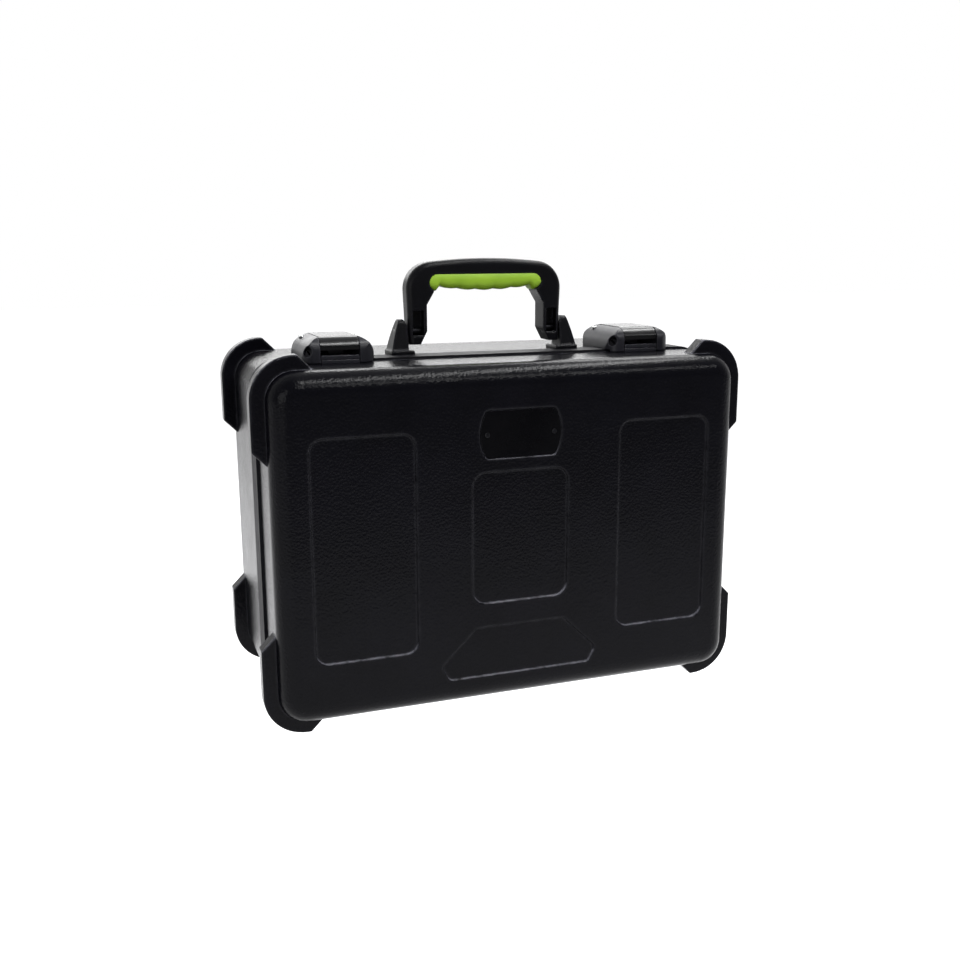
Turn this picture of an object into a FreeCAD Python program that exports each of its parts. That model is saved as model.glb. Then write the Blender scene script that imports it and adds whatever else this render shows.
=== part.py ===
import FreeCAD, Part
import math
import os

# Hard case for fifteen hand-held microphones, standing upright on its corner guards.
# X is the width, Y runs from the lid's face (minus) to the back (plus), Z is up.
# The origin is under the middle of the case, on the surface that it stands on.
# All lengths are millimetres and all angles degrees.

V = FreeCAD.Vector

# Case body
shell_width = 420.0
shell_height = 295.0
case_depth = 229.0
lid_depth = 65.5
parting_gap = 1.0
wall = 4.0
corner_radius = 24.0
edge_radius = 18.0

# Corner guards, moulded with the shells
guard_proud = 12.0
guard_thick = 14.5
guard_setback = 18.0
guard_side_limb = 76.5
guard_end_limb = 39.0
guard_round = 1.5
guard_sink = 2.0

# Pressed panels in the lid's face
panel_depth = 2.2
panel_floor_round = 0.9
panel_lip_round = 1.2
side_panel_side_margin = 29.95
side_panel_low_margin = 53.3
side_panel_top_margin = 53.7
side_panel_gap = 49.15
side_panel_radius = 11.0
mid_panel_width = 87.2
mid_panel_radius = 12.5
mid_panel_under_plate = 11.2
mid_panel_over_foot = 21.3
foot_panel_top_half = 40.5
foot_panel_wide_half = 72.5
foot_panel_low_half = 65.0
foot_panel_margin = 24.0
foot_panel_height = 44.5
foot_panel_waist = 13.0
foot_panel_radius = 5.0

# Nameplate, left bare, and the two rivets that hold it
plate_half = 31.0
plate_bulge = 5.8
plate_height = 41.0
plate_margin_top = 38.2
plate_corner = 4.0
plate_thick = 1.5
plate_fit = 0.4
plate_rivet_inset = 0.7
plate_rivet_radius = 1.2
plate_rivet_head = 2.1
plate_rivet_rise = 0.7

# Rims round the mouth of the base and of the lid, and the seal between them
band_width = 28.0
band_proud = 2.2
band_round = 1.2
web_thick = 2.0
flange_thick = 2.0
flange_width = 17.0
line_depth = 0.5
line_width = 0.9
line_pitch = 9.0
lid_flange = 17.0
tongue_gap = 0.4
tongue_reach = 6.5
seal_seat = 2.0
seal_gap = 0.3

# Foam inserts
foam_gap = 0.3
pad_margin = 4.0
block_front = 48.0
rail_foam = 38.2
pocket_wall = 12.0
strip_thick = 15.0
left_foam = 24.0
right_foam = 19.4
store_width = 56.0
store_wall = 14.0
pocket_columns = 5
pocket_rows = 3
lid_foam_thick = 26.0

# Hinges under the mouth, hidden from the front
hinge_offset = 110.0
hinge_length = 76.0
hinge_leaf = 18.0
hinge_pad_margin = 2.0
hinge_plate = 1.5
knuckle_radius = 3.3
knuckle_drop = 0.3
knuckle_count = 5
knuckle_gap = 0.3
hinge_pin_radius = 1.5
running_gap = 0.05
hinge_rivet_pitch = 25.0
hinge_rivet_inset = 9.5

# Rivets and screws
rivet_radius = 2.0
rivet_head_radius = 2.8
rivet_head = 1.3
screw_radius = 2.5
screw_head_radius = 4.4
screw_head = 2.8
screw_bite = 12.0

# Draw latches on the top, both of one pattern
latch_margin_share = 13 / 70
latch_overhang = 10.0
latch_depth = 65.0
latch_cheek = 14.5
latch_height = 22.6
latch_front_corner = 12.0
latch_rear_corner = 8.0
latch_front_round = 13.0
latch_rear_round = 14.0
latch_side_round = 20.0
latch_lift = 0.5
latch_floor = 1.8
lever_width = 33.0
lever_side_gap = 0.4
lever_sink = 0.4
lever_thick = 2.6
lever_lip_height = 10.8
lever_ridge_height = 14.5
lever_ridge_step = 1.2
lever_pivot_inset = 13.5
lever_knuckle = 3.2
lever_rear_gap = 0.3
lever_pin_radius = 1.5
lever_pin_seat = 8.0
claw_reach = 29.0
claw_pin_height = 11.0
claw_pin_radius = 1.4
claw_eye_radius = 3.3
claw_arm_half = 6.5
claw_plate = 1.8
claw_top_height = 6.6
claw_web = 1.6
claw_foot_gap = 0.3
claw_side_gap = 0.4
lug_gap = 0.5
lug_thick = 2.8
latch_rivet_half = 12.5
latch_rivet_rear_gap = 3.2
backing_thick = 1.5
backing_half = 19.0
backing_width = 13.5
backing_gap = 0.4

# Keepers on the lid, whose lips the claws come down on
keeper_plate = 1.4
keeper_lip = 2.0
keeper_lip_height = 2.9
keeper_rivet_half = 8.0
keeper_rivet_inset = 4.6

# Lock barrels in the latches' left cheeks
barrel_radius = 4.2
barrel_length_share = 0.46
barrel_height = 10.6
barrel_turn = 45.0
barrel_tilt = 30.0
barrel_recess = 3.0
keyway_length = 5.6
keyway_width = 1.8
keyway_depth = 5.0

# Carrying handle and the two towers that carry it
handle_setback = 28.5
handle_thick = 20.0
handle_rise = 84.8
handle_crown = 2.7
handle_shoulder_radius = 24.0
handle_round = 5.0
handle_lean = 2.2
bar_thick = 13.6
arm_width = 15.8
arm_below_pivot = 10.9
arm_cut_width = 6.0
arm_cut_height = 11.5
arm_pocket_width = 10.2
arm_pocket_depth = 9.0
arm_pocket_height = 21.5
handle_pivot_rise = 21.5
arm_pocket_drop = 3.0
handle_pin_radius = 3.5
handle_pin_in_tower = 9.5
handle_pin_wall = 2.3
shoulder_slope_width = 6.6
shoulder_slope_height = 11.2
shoulder_under_grip = 0.6
grip_height = 14.6
grip_inset = 18.6
grip_hook = 6.2
grip_plain_end = 10.6
grip_arch = 2.7
grip_sag = 1.4
grip_scallop_depth = 1.2
grip_bump_pitch = 16.8
grip_proud = 0.5
grip_under_round = 6.0
core_inset = 8.6
core_thick = 8.0
core_lift = 5.0
latch_to_tower = 20.5
tower_gap = 1.4
tower_foot_width = 15.9
tower_top_width = 7.0
tower_nose_width = 3.0
tower_nose_height = 6.0
tower_waist_width = 12.0
tower_waist_share = 0.55
tower_over_pivot = 11.0
tower_depth = 24.0
tower_top_depth = 10.0
tower_round = 4.0
foot_inside = 5.1
foot_thick = 3.6
foot_round = 2.0
screw_pitch = 11.0
plate_margin = 4.0

# One length that every cut runs past the faces that it goes through
overrun = 6.0

# Places worked out from the sizes above
front_y = -case_depth / 2
rear_y = case_depth / 2
gap_y = front_y + lid_depth
base_y = gap_y + parting_gap
bottom_z = guard_proud
top_z = guard_proud + shell_height
mid_z = guard_proud + shell_height / 2
band_top_z = top_z + band_proud
band_rear_y = base_y + band_width
flange_rear_y = base_y + flange_width
plate_z = top_z - plate_margin_top - plate_height / 2
plate_rivet_half = plate_half - plate_rivet_inset
foot_panel_low_z = bottom_z + foot_panel_margin
foot_panel_wide_z = foot_panel_low_z + foot_panel_waist
foot_panel_top_z = foot_panel_low_z + foot_panel_height
mid_panel_top_z = plate_z - plate_height / 2 - mid_panel_under_plate
mid_panel_low_z = foot_panel_top_z + mid_panel_over_foot
side_panel_far = shell_width / 2 - side_panel_side_margin
side_panel_near = mid_panel_width / 2 + side_panel_gap
side_panel_low_z = bottom_z + side_panel_low_margin
side_panel_top_z = top_z - side_panel_top_margin
inner_rear_y = rear_y - edge_radius
block_front_y = base_y + block_front
handle_y = base_y + handle_setback
latch_width = lever_width + 2 * latch_cheek
latch_offset = shell_width / 2 * (1 - latch_margin_share) - latch_width / 2
barrel_length = barrel_length_share * latch_cheek
latch_front_y = gap_y - latch_overhang
latch_rear_y = latch_front_y + latch_depth
latch_top_z = top_z + latch_height
floor_top_z = band_top_z + latch_floor
lever_pivot_y = latch_rear_y - lever_pivot_inset
lever_top_z = latch_top_z - lever_sink
lever_pivot_z = lever_top_z - lever_knuckle
slot_half = lever_width / 2 + lever_side_gap
claw_pin_y = lever_pivot_y - claw_reach
claw_pin_z = top_z + claw_pin_height
hinge_axis_y = gap_y + parting_gap / 2
hinge_axis_z = bottom_z - band_proud - knuckle_drop - knuckle_radius
front_rivet_y = base_y + flange_width / 2
rear_rivet_y = lever_pivot_y + lever_knuckle - latch_rivet_rear_gap
tower_foot_half = latch_offset - latch_width / 2 - latch_to_tower
tower_near = tower_foot_half - tower_foot_width
handle_half = tower_near - tower_gap
handle_top_z = top_z + handle_rise
handle_shoulder_z = handle_top_z - handle_crown - handle_shoulder_radius
handle_pivot_z = top_z + handle_pivot_rise
arm_bottom_z = handle_pivot_z - arm_below_pivot
grip_top_z = handle_top_z - bar_thick
grip_low_z = grip_top_z - grip_height
grip_half = handle_half - grip_inset
core_low_z = grip_low_z + core_lift
tower_top_z = handle_pivot_z + tower_over_pivot


def save(name, shape):
    """Write one sub-part under its own name."""
    shape.exportStep("parts/" + name + ".step")


def box(x0, x1, y0, y1, z0, z1):
    """Block between two corners."""
    return Part.makeBox(x1 - x0, y1 - y0, z1 - z0, V(x0, y0, z0))


def rod(radius, start, end):
    """Round rod from one point to another."""
    run = end.sub(start)
    return Part.makeCylinder(radius, run.Length, start, run)


def prism(points, start, run):
    """Straight-sided outline, given as points, pushed along one direction."""
    wire = Part.makePolygon([V(*p).add(start) for p in points + points[:1]])
    return Part.Face(wire).extrude(run)


def edges_along(shape, direction):
    """Straight edges that run along one direction."""
    found = []
    for edge in shape.Edges:
        run = edge.Vertexes[-1].Point.sub(edge.Vertexes[0].Point)
        if run.Length > 0 and run.cross(direction).Length < run.Length / 1000:
            found.append(edge)
    return found


def edges_at_y(shape, y):
    """Edges that lie wholly in the plane at y."""
    flat = [e for e in shape.Edges if e.BoundBox.YLength < wall / 1000]
    return [e for e in flat if abs(e.CenterOfMass.y - y) < wall / 1000]


def slab(inset, y0, y1):
    """Prism on the shell's outline, drawn in by inset, with its four corners rounded."""
    half_x = shell_width / 2 - inset
    half_z = shell_height / 2 - inset
    block = box(-half_x, half_x, y0, y1, mid_z - half_z, mid_z + half_z)
    return block.makeFillet(corner_radius - inset, edges_along(block, V(0, 1, 0)))


def ring(outer, inner, y0, y1):
    """Frame between two insets of the shell's outline."""
    return slab(outer, y0, y1).cut(slab(inner, y0 - overrun, y1 + overrun))


def dished(inset, y_open, y_closed, radius):
    """Prism on the shell's outline whose closed end has a rounded border."""
    block = slab(inset, min(y_open, y_closed), max(y_open, y_closed))
    return block.makeFillet(radius, edges_at_y(block, y_closed))


def guard(side_x, side_z, y0):
    """L-shaped guard round one corner of a shell, with sloped ends."""
    block = ring(-guard_proud, guard_sink, y0, y0 + guard_thick)
    reach = guard_proud + guard_sink
    corner_x = side_x * (shell_width / 2 + guard_proud)
    corner_z = mid_z + side_z * (shell_height / 2 + guard_proud)
    outline = [(0, 0), (guard_end_limb, 0), (guard_end_limb + reach, reach),
               (reach, guard_side_limb + reach), (0, guard_side_limb)]
    points = [(corner_x - side_x * a, 0, corner_z - side_z * b) for a, b in outline]
    window = prism(points, V(0, y0 - overrun, 0), V(0, guard_thick + 2 * overrun, 0))
    limb = block.common(window).Solids[0]
    core = slab(guard_sink + guard_round / 2, y0 - overrun, y0 + guard_thick + overrun)
    outer = [e for e in limb.Edges if not outline_hides(e, core)]
    return limb.makeFillet(guard_round, outer)


def outline_hides(edge, core):
    """True for an edge that touches the sunk inner face of a guard."""
    middle = edge.valueAt((edge.FirstParameter + edge.LastParameter) / 2)
    return core.distToShape(Part.Vertex(middle))[0] < guard_round


def guards(y0):
    """The four corner guards of one shell."""
    return [guard(sx, sz, y0) for sx in (-1, 1) for sz in (-1, 1)]


def rounded_panel(x0, x1, z0, z1, radius):
    """Rectangular panel cutter with rounded corners."""
    block = box(x0, x1, front_y - overrun, front_y + panel_depth, z0, z1)
    return block.makeFillet(radius, edges_along(block, V(0, 1, 0)))


def foot_panel():
    """Panel cutter with sloping shoulders, low on the lid's face."""
    right = [(foot_panel_top_half, foot_panel_top_z), (foot_panel_wide_half, foot_panel_wide_z),
             (foot_panel_low_half, foot_panel_low_z)]
    left = [(-x, z) for x, z in reversed(right)]
    points = [(x, 0, z) for x, z in right + left]
    block = prism(points, V(0, front_y - overrun, 0), V(0, overrun + panel_depth, 0))
    return block.makeFillet(foot_panel_radius, edges_along(block, V(0, 1, 0)))


def plate_block(inset, y0, y1):
    """Nameplate outline, whose two ends bulge outwards."""
    half = plate_half - inset
    bulge = half + plate_bulge
    high = plate_height / 2 - inset
    corners = [V(-half, y0, plate_z + high), V(half, y0, plate_z + high),
               V(half, y0, plate_z - high), V(-half, y0, plate_z - high)]
    top = Part.LineSegment(corners[0], corners[1]).toShape()
    right = Part.Arc(corners[1], V(bulge, y0, plate_z), corners[2]).toShape()
    low = Part.LineSegment(corners[2], corners[3]).toShape()
    left = Part.Arc(corners[3], V(-bulge, y0, plate_z), corners[0]).toShape()
    block = Part.Face(Part.Wire([top, right, low, left])).extrude(V(0, y1 - y0, 0))
    return block.makeFillet(plate_corner, edges_along(block, V(0, 1, 0)))


def panel_cutters():
    """All the pressed panels of the lid's face, with rounded floors."""
    mid = mid_panel_width / 2
    side = (side_panel_low_z, side_panel_top_z, side_panel_radius)
    cutters = [
        rounded_panel(-side_panel_far, -side_panel_near, *side),
        rounded_panel(side_panel_near, side_panel_far, *side),
        rounded_panel(-mid, mid, mid_panel_low_z, mid_panel_top_z, mid_panel_radius),
        foot_panel(),
    ]
    cutters = [c.makeFillet(panel_floor_round, edges_at_y(c, front_y + panel_depth)) for c in cutters]
    return cutters + [plate_block(0, front_y - overrun, front_y + panel_depth)]


def lip_edges(shell):
    """Edges of the panels in the plane of the lid's face."""
    inside = shell_width / 2 - edge_radius - wall
    below = mid_z + shell_height / 2 - edge_radius - wall
    above = mid_z - shell_height / 2 + edge_radius + wall
    return [e for e in edges_at_y(shell, front_y)
            if abs(e.CenterOfMass.x) < inside and above < e.CenterOfMass.z < below]


def mirrored(x):
    """A place on the left and its twin on the right."""
    return (-x, x)


def rivet(x, y, head_z, tail_z):
    """Rivet along Z with a domed head outside and a flat tail inside."""
    up = 1 if head_z > tail_z else -1
    shank = rod(rivet_radius, V(x, y, tail_z), V(x, y, head_z))
    head = rod(rivet_head_radius, V(x, y, head_z), V(x, y, head_z + up * rivet_head))
    top = [e for e in head.Edges if abs(e.CenterOfMass.z - head_z) > rivet_head / 2]
    dome = head.makeFillet(rivet_head / 2, top)
    tail = rod(rivet_head_radius, V(x, y, tail_z - up * rivet_head), V(x, y, tail_z))
    return shank.fuse([dome, tail]).removeSplitter()


def holes(places, radius):
    """Upright holes through everything at some places."""
    low = -shell_height
    high = 2 * shell_height
    return [rod(radius, V(x, y, low), V(x, y, high)) for x, y in places]


def pierce(shape, places, radius, z0, z1):
    """Cut upright holes between two heights."""
    return shape.cut([rod(radius, V(x, y, z0 - overrun), V(x, y, z1 + overrun)) for x, y in places])


def hinge_rivet_places(y):
    """Where one row of hinge rivets goes, on both hinges."""
    return [(x + step * hinge_rivet_pitch, y) for x in mirrored(hinge_offset) for step in (-1, 0, 1)]


def latch_front_places():
    """Latch rivets that go through the rim."""
    return [(x + dx, front_rivet_y) for x in mirrored(latch_offset) for dx in mirrored(latch_rivet_half)]


def latch_rear_places():
    """Latch rivets that go through the wall and a backing plate."""
    return [(x + dx, rear_rivet_y) for x in mirrored(latch_offset) for dx in mirrored(latch_rivet_half)]


def keeper_rivet_places():
    """Rivets of the two keepers, through the lid's top and its rim."""
    y = gap_y - keeper_rivet_inset
    return [(x + dx, y) for x in mirrored(latch_offset) for dx in mirrored(keeper_rivet_half)]


def screw_places(row):
    """Handle screws in the front row (0), through the band, or in the rear row (1)."""
    x = (tower_foot_half + tower_near) / 2
    y = handle_y + (row - 1 / 2) * screw_pitch
    return [(side * x, y) for side in (-1, 1)]


def base_shell():
    """Deep half of the case: an open tray with four corner guards."""
    body = dished(0, base_y + web_thick, rear_y, edge_radius)
    hollow = dished(wall, base_y - overrun, rear_y - wall, edge_radius - wall)
    tray = body.cut(hollow)
    tray = tray.fuse(guards(rear_y - guard_setback - guard_thick)).cut(hollow)
    hinged = hinge_rivet_places(base_y + hinge_rivet_inset)
    tray = pierce(tray, hinged, rivet_radius, bottom_z, bottom_z + wall)
    tray = pierce(tray, latch_front_places() + latch_rear_places(), rivet_radius, top_z - wall, top_z)
    return pierce(tray, screw_places(0) + screw_places(1), screw_radius, top_z - wall, top_z)


def base_rim():
    """Channel that caps the edge of the base and stands proud as a band outside."""
    band = dished(-band_proud, base_y, band_rear_y, band_round)
    band = band.cut(slab(0, base_y - overrun, band_rear_y + overrun))
    flange = ring(wall, wall + flange_thick, base_y, flange_rear_y)
    web = ring(-band_proud, wall + flange_thick, base_y, base_y + web_thick)
    rim = band.fuse([flange, web]).removeSplitter()
    for line in (1, 2):
        y = base_y + line * line_pitch
        rim = rim.cut(ring(-band_proud - overrun, line_depth - band_proud, y, y + line_width))
    low = bottom_z - band_proud
    inner = bottom_z + wall + flange_thick
    rim = pierce(rim, hinge_rivet_places(base_y + hinge_rivet_inset), rivet_radius, low, inner)
    rim = pierce(rim, latch_front_places(), rivet_radius, top_z - wall - flange_thick, band_top_z)
    return pierce(rim, screw_places(0), screw_radius, top_z, band_top_z)


def hinge_pad(x):
    """Raised pad on the lid's underside that brings a hinge leaf level with the rim."""
    half = hinge_length / 2
    far = gap_y - hinge_leaf - hinge_pad_margin
    return box(x - half, x + half, far, gap_y, bottom_z - band_proud, bottom_z + wall / 2)


def lid_shell():
    """Shallow half of the case: a tray with guards, pressed panels and hinge pads."""
    body = dished(0, gap_y, front_y, edge_radius)
    body = body.cut(panel_cutters())
    body = body.makeFillet(panel_lip_round, lip_edges(body))
    hollow = dished(wall, gap_y + overrun, front_y + wall, edge_radius - wall)
    extras = guards(front_y + guard_setback) + [hinge_pad(x) for x in mirrored(hinge_offset)]
    tray = body.fuse(extras).cut(hollow)
    low = bottom_z - band_proud
    hinged = hinge_rivet_places(gap_y - hinge_rivet_inset)
    tray = pierce(tray, hinged, rivet_radius, low, bottom_z + wall)
    tray = pierce(tray, keeper_rivet_places(), rivet_radius, top_z - wall, top_z)
    near = front_y - overrun
    far = front_y + wall + overrun
    return tray.cut([rod(plate_rivet_radius, V(x, near, plate_z), V(x, far, plate_z))
                     for x in mirrored(plate_rivet_half)])


def lid_rim():
    """Liner inside the lid's edge, with a tongue that enters the mouth of the base."""
    liner = ring(wall, wall + 2 * flange_thick, gap_y - lid_flange, gap_y - seal_seat)
    tongue = ring(wall + flange_thick + tongue_gap, wall + 2 * flange_thick, gap_y - lid_flange,
                  gap_y + tongue_reach)
    rim = liner.fuse(tongue).removeSplitter()
    inner = wall + 2 * flange_thick
    hinged = hinge_rivet_places(gap_y - hinge_rivet_inset)
    rim = pierce(rim, hinged, rivet_radius, bottom_z, bottom_z + inner)
    return pierce(rim, keeper_rivet_places(), rivet_radius, top_z - inner, top_z)


def rim_gasket():
    """Seal strip in the seat between the lid's edge and its tongue."""
    return ring(wall, wall + flange_thick + tongue_gap, gap_y - seal_seat, base_y - seal_gap)


def nameplate():
    """Bare plate in the top panel."""
    plate = plate_block(plate_fit, front_y + panel_depth - plate_thick, front_y + panel_depth)
    pins = [rod(plate_rivet_radius, V(x, front_y - overrun, plate_z), V(x, front_y + wall, plate_z))
            for x in mirrored(plate_rivet_half)]
    return plate.cut(pins)


def nameplate_rivets():
    """Two small domed rivets through the nameplate and the lid."""
    face = front_y + panel_depth - plate_thick
    group = []
    for x in mirrored(plate_rivet_half):
        shank = rod(plate_rivet_radius, V(x, face, plate_z), V(x, front_y + wall, plate_z))
        head = rod(plate_rivet_head, V(x, face - plate_rivet_rise, plate_z), V(x, face, plate_z))
        rim = [e for e in head.Edges if e.CenterOfMass.y < face - plate_rivet_rise / 2]
        group.append(shank.fuse(head.makeFillet(plate_rivet_rise / 2, rim)).removeSplitter())
    return Part.makeCompound(group)


def foam_columns():
    """Left edges of the pocket columns, and the width of one pocket."""
    left = -shell_width / 2 + wall + foam_gap
    beside = left_foam + right_foam + store_width + store_wall
    walls = (pocket_columns - 1) * pocket_wall
    width = (-2 * left - beside - walls) / pocket_columns
    return [left + left_foam + i * (width + pocket_wall) for i in range(pocket_columns)], width


def foam_rows():
    """Lower edges of the pocket rows, and the height of one pocket."""
    low = bottom_z + wall + foam_gap + rail_foam
    strips = (pocket_rows - 1) * strip_thick
    height = (2 * (mid_z - low) - strips) / pocket_rows
    return [low + i * (height + strip_thick) for i in range(pocket_rows)], height


def foam_rail(side):
    """Full-width foam rail above or below the pockets, with rounded outer corners."""
    edge = shell_height / 2 - wall - foam_gap
    half = shell_width / 2 - wall - foam_gap
    near = mid_z + side * (edge - rail_foam)
    far = mid_z + side * edge
    block = box(-half, half, block_front_y, inner_rear_y, min(near, far), max(near, far))
    outer = [e for e in edges_along(block, V(0, 1, 0)) if abs(e.CenterOfMass.z - far) < wall / 1000]
    return block.makeFillet(corner_radius - wall - foam_gap, outer)


def foam_upright(x0, x1):
    """Upright foam piece between the two rails."""
    rows, height = foam_rows()
    return box(x0, x1, block_front_y, inner_rear_y, rows[0], rows[-1] + height)


def foam_strips():
    """Long foam strips between the pocket rows."""
    columns, width = foam_columns()
    rows, height = foam_rows()
    far = columns[-1] + width
    return Part.makeCompound([
        box(columns[0], far, block_front_y, inner_rear_y, z + height, z + height + strip_thick)
        for z in rows[:-1]])


def foam_blocks():
    """Short foam blocks between neighbouring pockets."""
    columns, width = foam_columns()
    rows, height = foam_rows()
    return Part.makeCompound([
        box(x + width, x + width + pocket_wall, block_front_y, inner_rear_y, z, z + height)
        for x in columns[:-1] for z in rows])


def foam_floor():
    """Foam sheet on the inside of the back wall."""
    half_x = shell_width / 2 - edge_radius - pad_margin
    half_z = shell_height / 2 - edge_radius - pad_margin
    return box(-half_x, half_x, inner_rear_y, rear_y - wall, mid_z - half_z, mid_z + half_z)


def lid_foam():
    """Foam sheet inside the lid's face, with the lid's rounded border."""
    inset = wall + foam_gap
    y0 = front_y + wall
    return dished(inset, y0 + lid_foam_thick, y0, edge_radius - wall)


def hinge_rod(radius, x0, x1):
    """Round rod on the hinge axis."""
    return rod(radius, V(x0, hinge_axis_y, hinge_axis_z), V(x1, hinge_axis_y, hinge_axis_z))


def knuckles(x, own, radius):
    """Barrel pieces of one hinge leaf: every second one, with a small gap at the joints."""
    step = hinge_length / knuckle_count
    start = x - hinge_length / 2
    found = []
    for i in range(knuckle_count):
        if i % 2 == own:
            x0 = start + i * step + knuckle_gap / 2
            x1 = start + (i + 1) * step - knuckle_gap / 2
            found.append(hinge_rod(radius, x0, x1))
    return found


def hinge_leaf_plate(x, side, own):
    """Hinge leaf under the base (side +1) or the lid (side -1) with its knuckles."""
    top = bottom_z - band_proud
    far = hinge_axis_y + side * hinge_leaf
    leaf = box(x - hinge_length / 2, x + hinge_length / 2, min(hinge_axis_y, far), max(hinge_axis_y, far),
               top - hinge_plate, top)
    clear = knuckle_radius + knuckle_drop
    step = hinge_length / knuckle_count
    for i in range(knuckle_count):
        if i % 2 != own:
            x0 = x - hinge_length / 2 + i * step - knuckle_gap / 2
            x1 = x0 + step + knuckle_gap
            leaf = leaf.cut(hinge_rod(clear, x0, x1))
    leaf = leaf.fuse(knuckles(x, own, knuckle_radius)).removeSplitter()
    gap = 0 if own == 0 else running_gap
    ends = hinge_length / 2 + overrun
    leaf = leaf.cut(hinge_rod(hinge_pin_radius + gap, x - ends, x + ends))
    y = base_y + hinge_rivet_inset if side > 0 else gap_y - hinge_rivet_inset
    return pierce(leaf, hinge_rivet_places(y), rivet_radius, top - hinge_plate, top)


def hinge_pin(x):
    """Pin of one hinge, held by the base leaf's knuckles."""
    return hinge_rod(hinge_pin_radius, x - hinge_length / 2, x + hinge_length / 2)


def hinge_rivets(y, inner):
    """Rivets of both hinges through one half of the case."""
    head_z = bottom_z - band_proud - hinge_plate
    return Part.makeCompound([rivet(px, py, head_z, bottom_z + inner) for px, py in hinge_rivet_places(y)])


def latch_body():
    """Outer form of a latch: a block rounded over its top, its sides and its upright corners."""
    half = latch_width / 2
    low = top_z - overrun
    rounded = box(-half, half, latch_front_y, latch_rear_y, low, latch_top_z)
    for y, radius in ((latch_front_y, latch_front_round), (latch_rear_y, latch_rear_round)):
        top = [e for e in edges_along(rounded, V(1, 0, 0))
               if abs(e.CenterOfMass.y - y) < wall / 1000 and e.CenterOfMass.z > top_z]
        rounded = rounded.makeFillet(radius, top)
    sides = box(-half, half, latch_front_y, latch_rear_y, low, latch_top_z)
    ridge = [e for e in edges_along(sides, V(0, 1, 0)) if e.CenterOfMass.z > top_z]
    sides = sides.makeFillet(latch_side_round, ridge)
    plan = box(-half, half, latch_front_y, latch_rear_y, low, latch_top_z)
    for y, radius in ((latch_front_y, latch_front_corner), (latch_rear_y, latch_rear_corner)):
        upright = [e for e in edges_along(plan, V(0, 0, 1)) if abs(e.CenterOfMass.y - y) < wall / 1000]
        plan = plan.makeFillet(radius, upright)
    return rounded.common(sides).common(plan)


def barrel_frame():
    """Point and outward direction of a lock barrel on the rounded left front corner."""
    turn = math.radians(barrel_turn)
    tilt = math.radians(barrel_tilt)
    x = -latch_width / 2 + latch_front_corner * (1 - math.cos(turn))
    y = latch_front_y + latch_front_corner * (1 - math.sin(turn))
    out = V(-math.cos(turn) * math.cos(tilt), -math.sin(turn) * math.cos(tilt), math.sin(tilt))
    return V(x, y, top_z + barrel_height), out


def latch_housing():
    """Latch base with two cheeks, a slot for the lever and seats for pin and lock."""
    half = latch_width / 2
    body = latch_body()
    body = body.cut(box(-half - overrun, half + overrun, latch_front_y - overrun, base_y,
                        top_z - 2 * overrun, top_z + latch_lift))
    body = body.cut(box(-half - overrun, half + overrun, base_y - overrun, band_rear_y,
                        top_z - 2 * overrun, band_top_z))
    body = body.cut(box(-half - overrun, half + overrun, latch_front_y, latch_rear_y + overrun,
                        top_z - 2 * overrun, top_z))
    slot_rear = lever_pivot_y + lever_knuckle + lever_rear_gap
    body = body.cut(box(-slot_half, slot_half, latch_front_y - overrun, slot_rear, floor_top_z,
                        latch_top_z + overrun))
    front = latch_front_y - overrun
    body = body.cut(box(-slot_half, slot_half, front, base_y, top_z, floor_top_z + overrun))
    body = body.cut(lever_pin())
    centre, out = barrel_frame()
    inner = centre.sub(out * (barrel_length + barrel_recess))
    return body.cut(rod(barrel_radius + running_gap, inner, centre.add(out * overrun)))


def lever_rod(radius, half):
    """Round rod on the lever's axis."""
    return rod(radius, V(-half, lever_pivot_y, lever_pivot_z), V(half, lever_pivot_y, lever_pivot_z))


def claw_rod(radius, half):
    """Round rod on the claw's axis."""
    return rod(radius, V(-half, claw_pin_y, claw_pin_z), V(half, claw_pin_y, claw_pin_z))


def front_top_edges(block, y):
    """Upper edge across the front of a block."""
    across = [e for e in edges_along(block, V(1, 0, 0)) if e.CenterOfMass.z > top_z + wall]
    return [e for e in across if e.CenterOfMass.y < y + wall / 1000]


def latch_lever():
    """Curved lever whose lip lifts at the front, with lugs that carry the claw."""
    half = lever_width / 2
    y0 = latch_front_y + lever_sink
    outer = box(-half, half, y0, lever_pivot_y, top_z, lever_top_z)
    bend = latch_front_round - lever_sink
    outer = outer.makeFillet(bend, front_top_edges(outer, y0))
    wide = half + overrun
    inner_y = y0 + lever_thick
    hollow = box(-wide, wide, inner_y, lever_pivot_y + overrun, top_z - overrun, lever_top_z - lever_thick)
    hollow = hollow.makeFillet(bend - lever_thick, front_top_edges(hollow, inner_y))
    shell = outer.cut(hollow)
    below = top_z - overrun
    shell = shell.cut(box(-wide, wide, y0 - overrun, lever_pivot_y, below, top_z + lever_lip_height))
    step_y = y0 + lever_ridge_step
    shell = shell.cut(box(-wide, wide, y0 - overrun, step_y, below, top_z + lever_ridge_height))
    knuckle = lever_rod(lever_knuckle, half)
    lugs = []
    lug_y = (claw_pin_y - claw_eye_radius, claw_pin_y + claw_eye_radius)
    for side in (-1, 1):
        near = side * (claw_arm_half + lug_gap)
        far = near + side * lug_thick
        lugs.append(box(min(near, far), max(near, far), *lug_y, claw_pin_z, lever_top_z - lever_thick / 2))
        lugs.append(rod(claw_eye_radius, V(near, claw_pin_y, claw_pin_z), V(far, claw_pin_y, claw_pin_z)))
    lever = shell.fuse([knuckle] + lugs).removeSplitter()
    return lever.cut([lever_rod(lever_pin_radius + running_gap, wide), claw_rod(claw_pin_radius, wide)])


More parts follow.
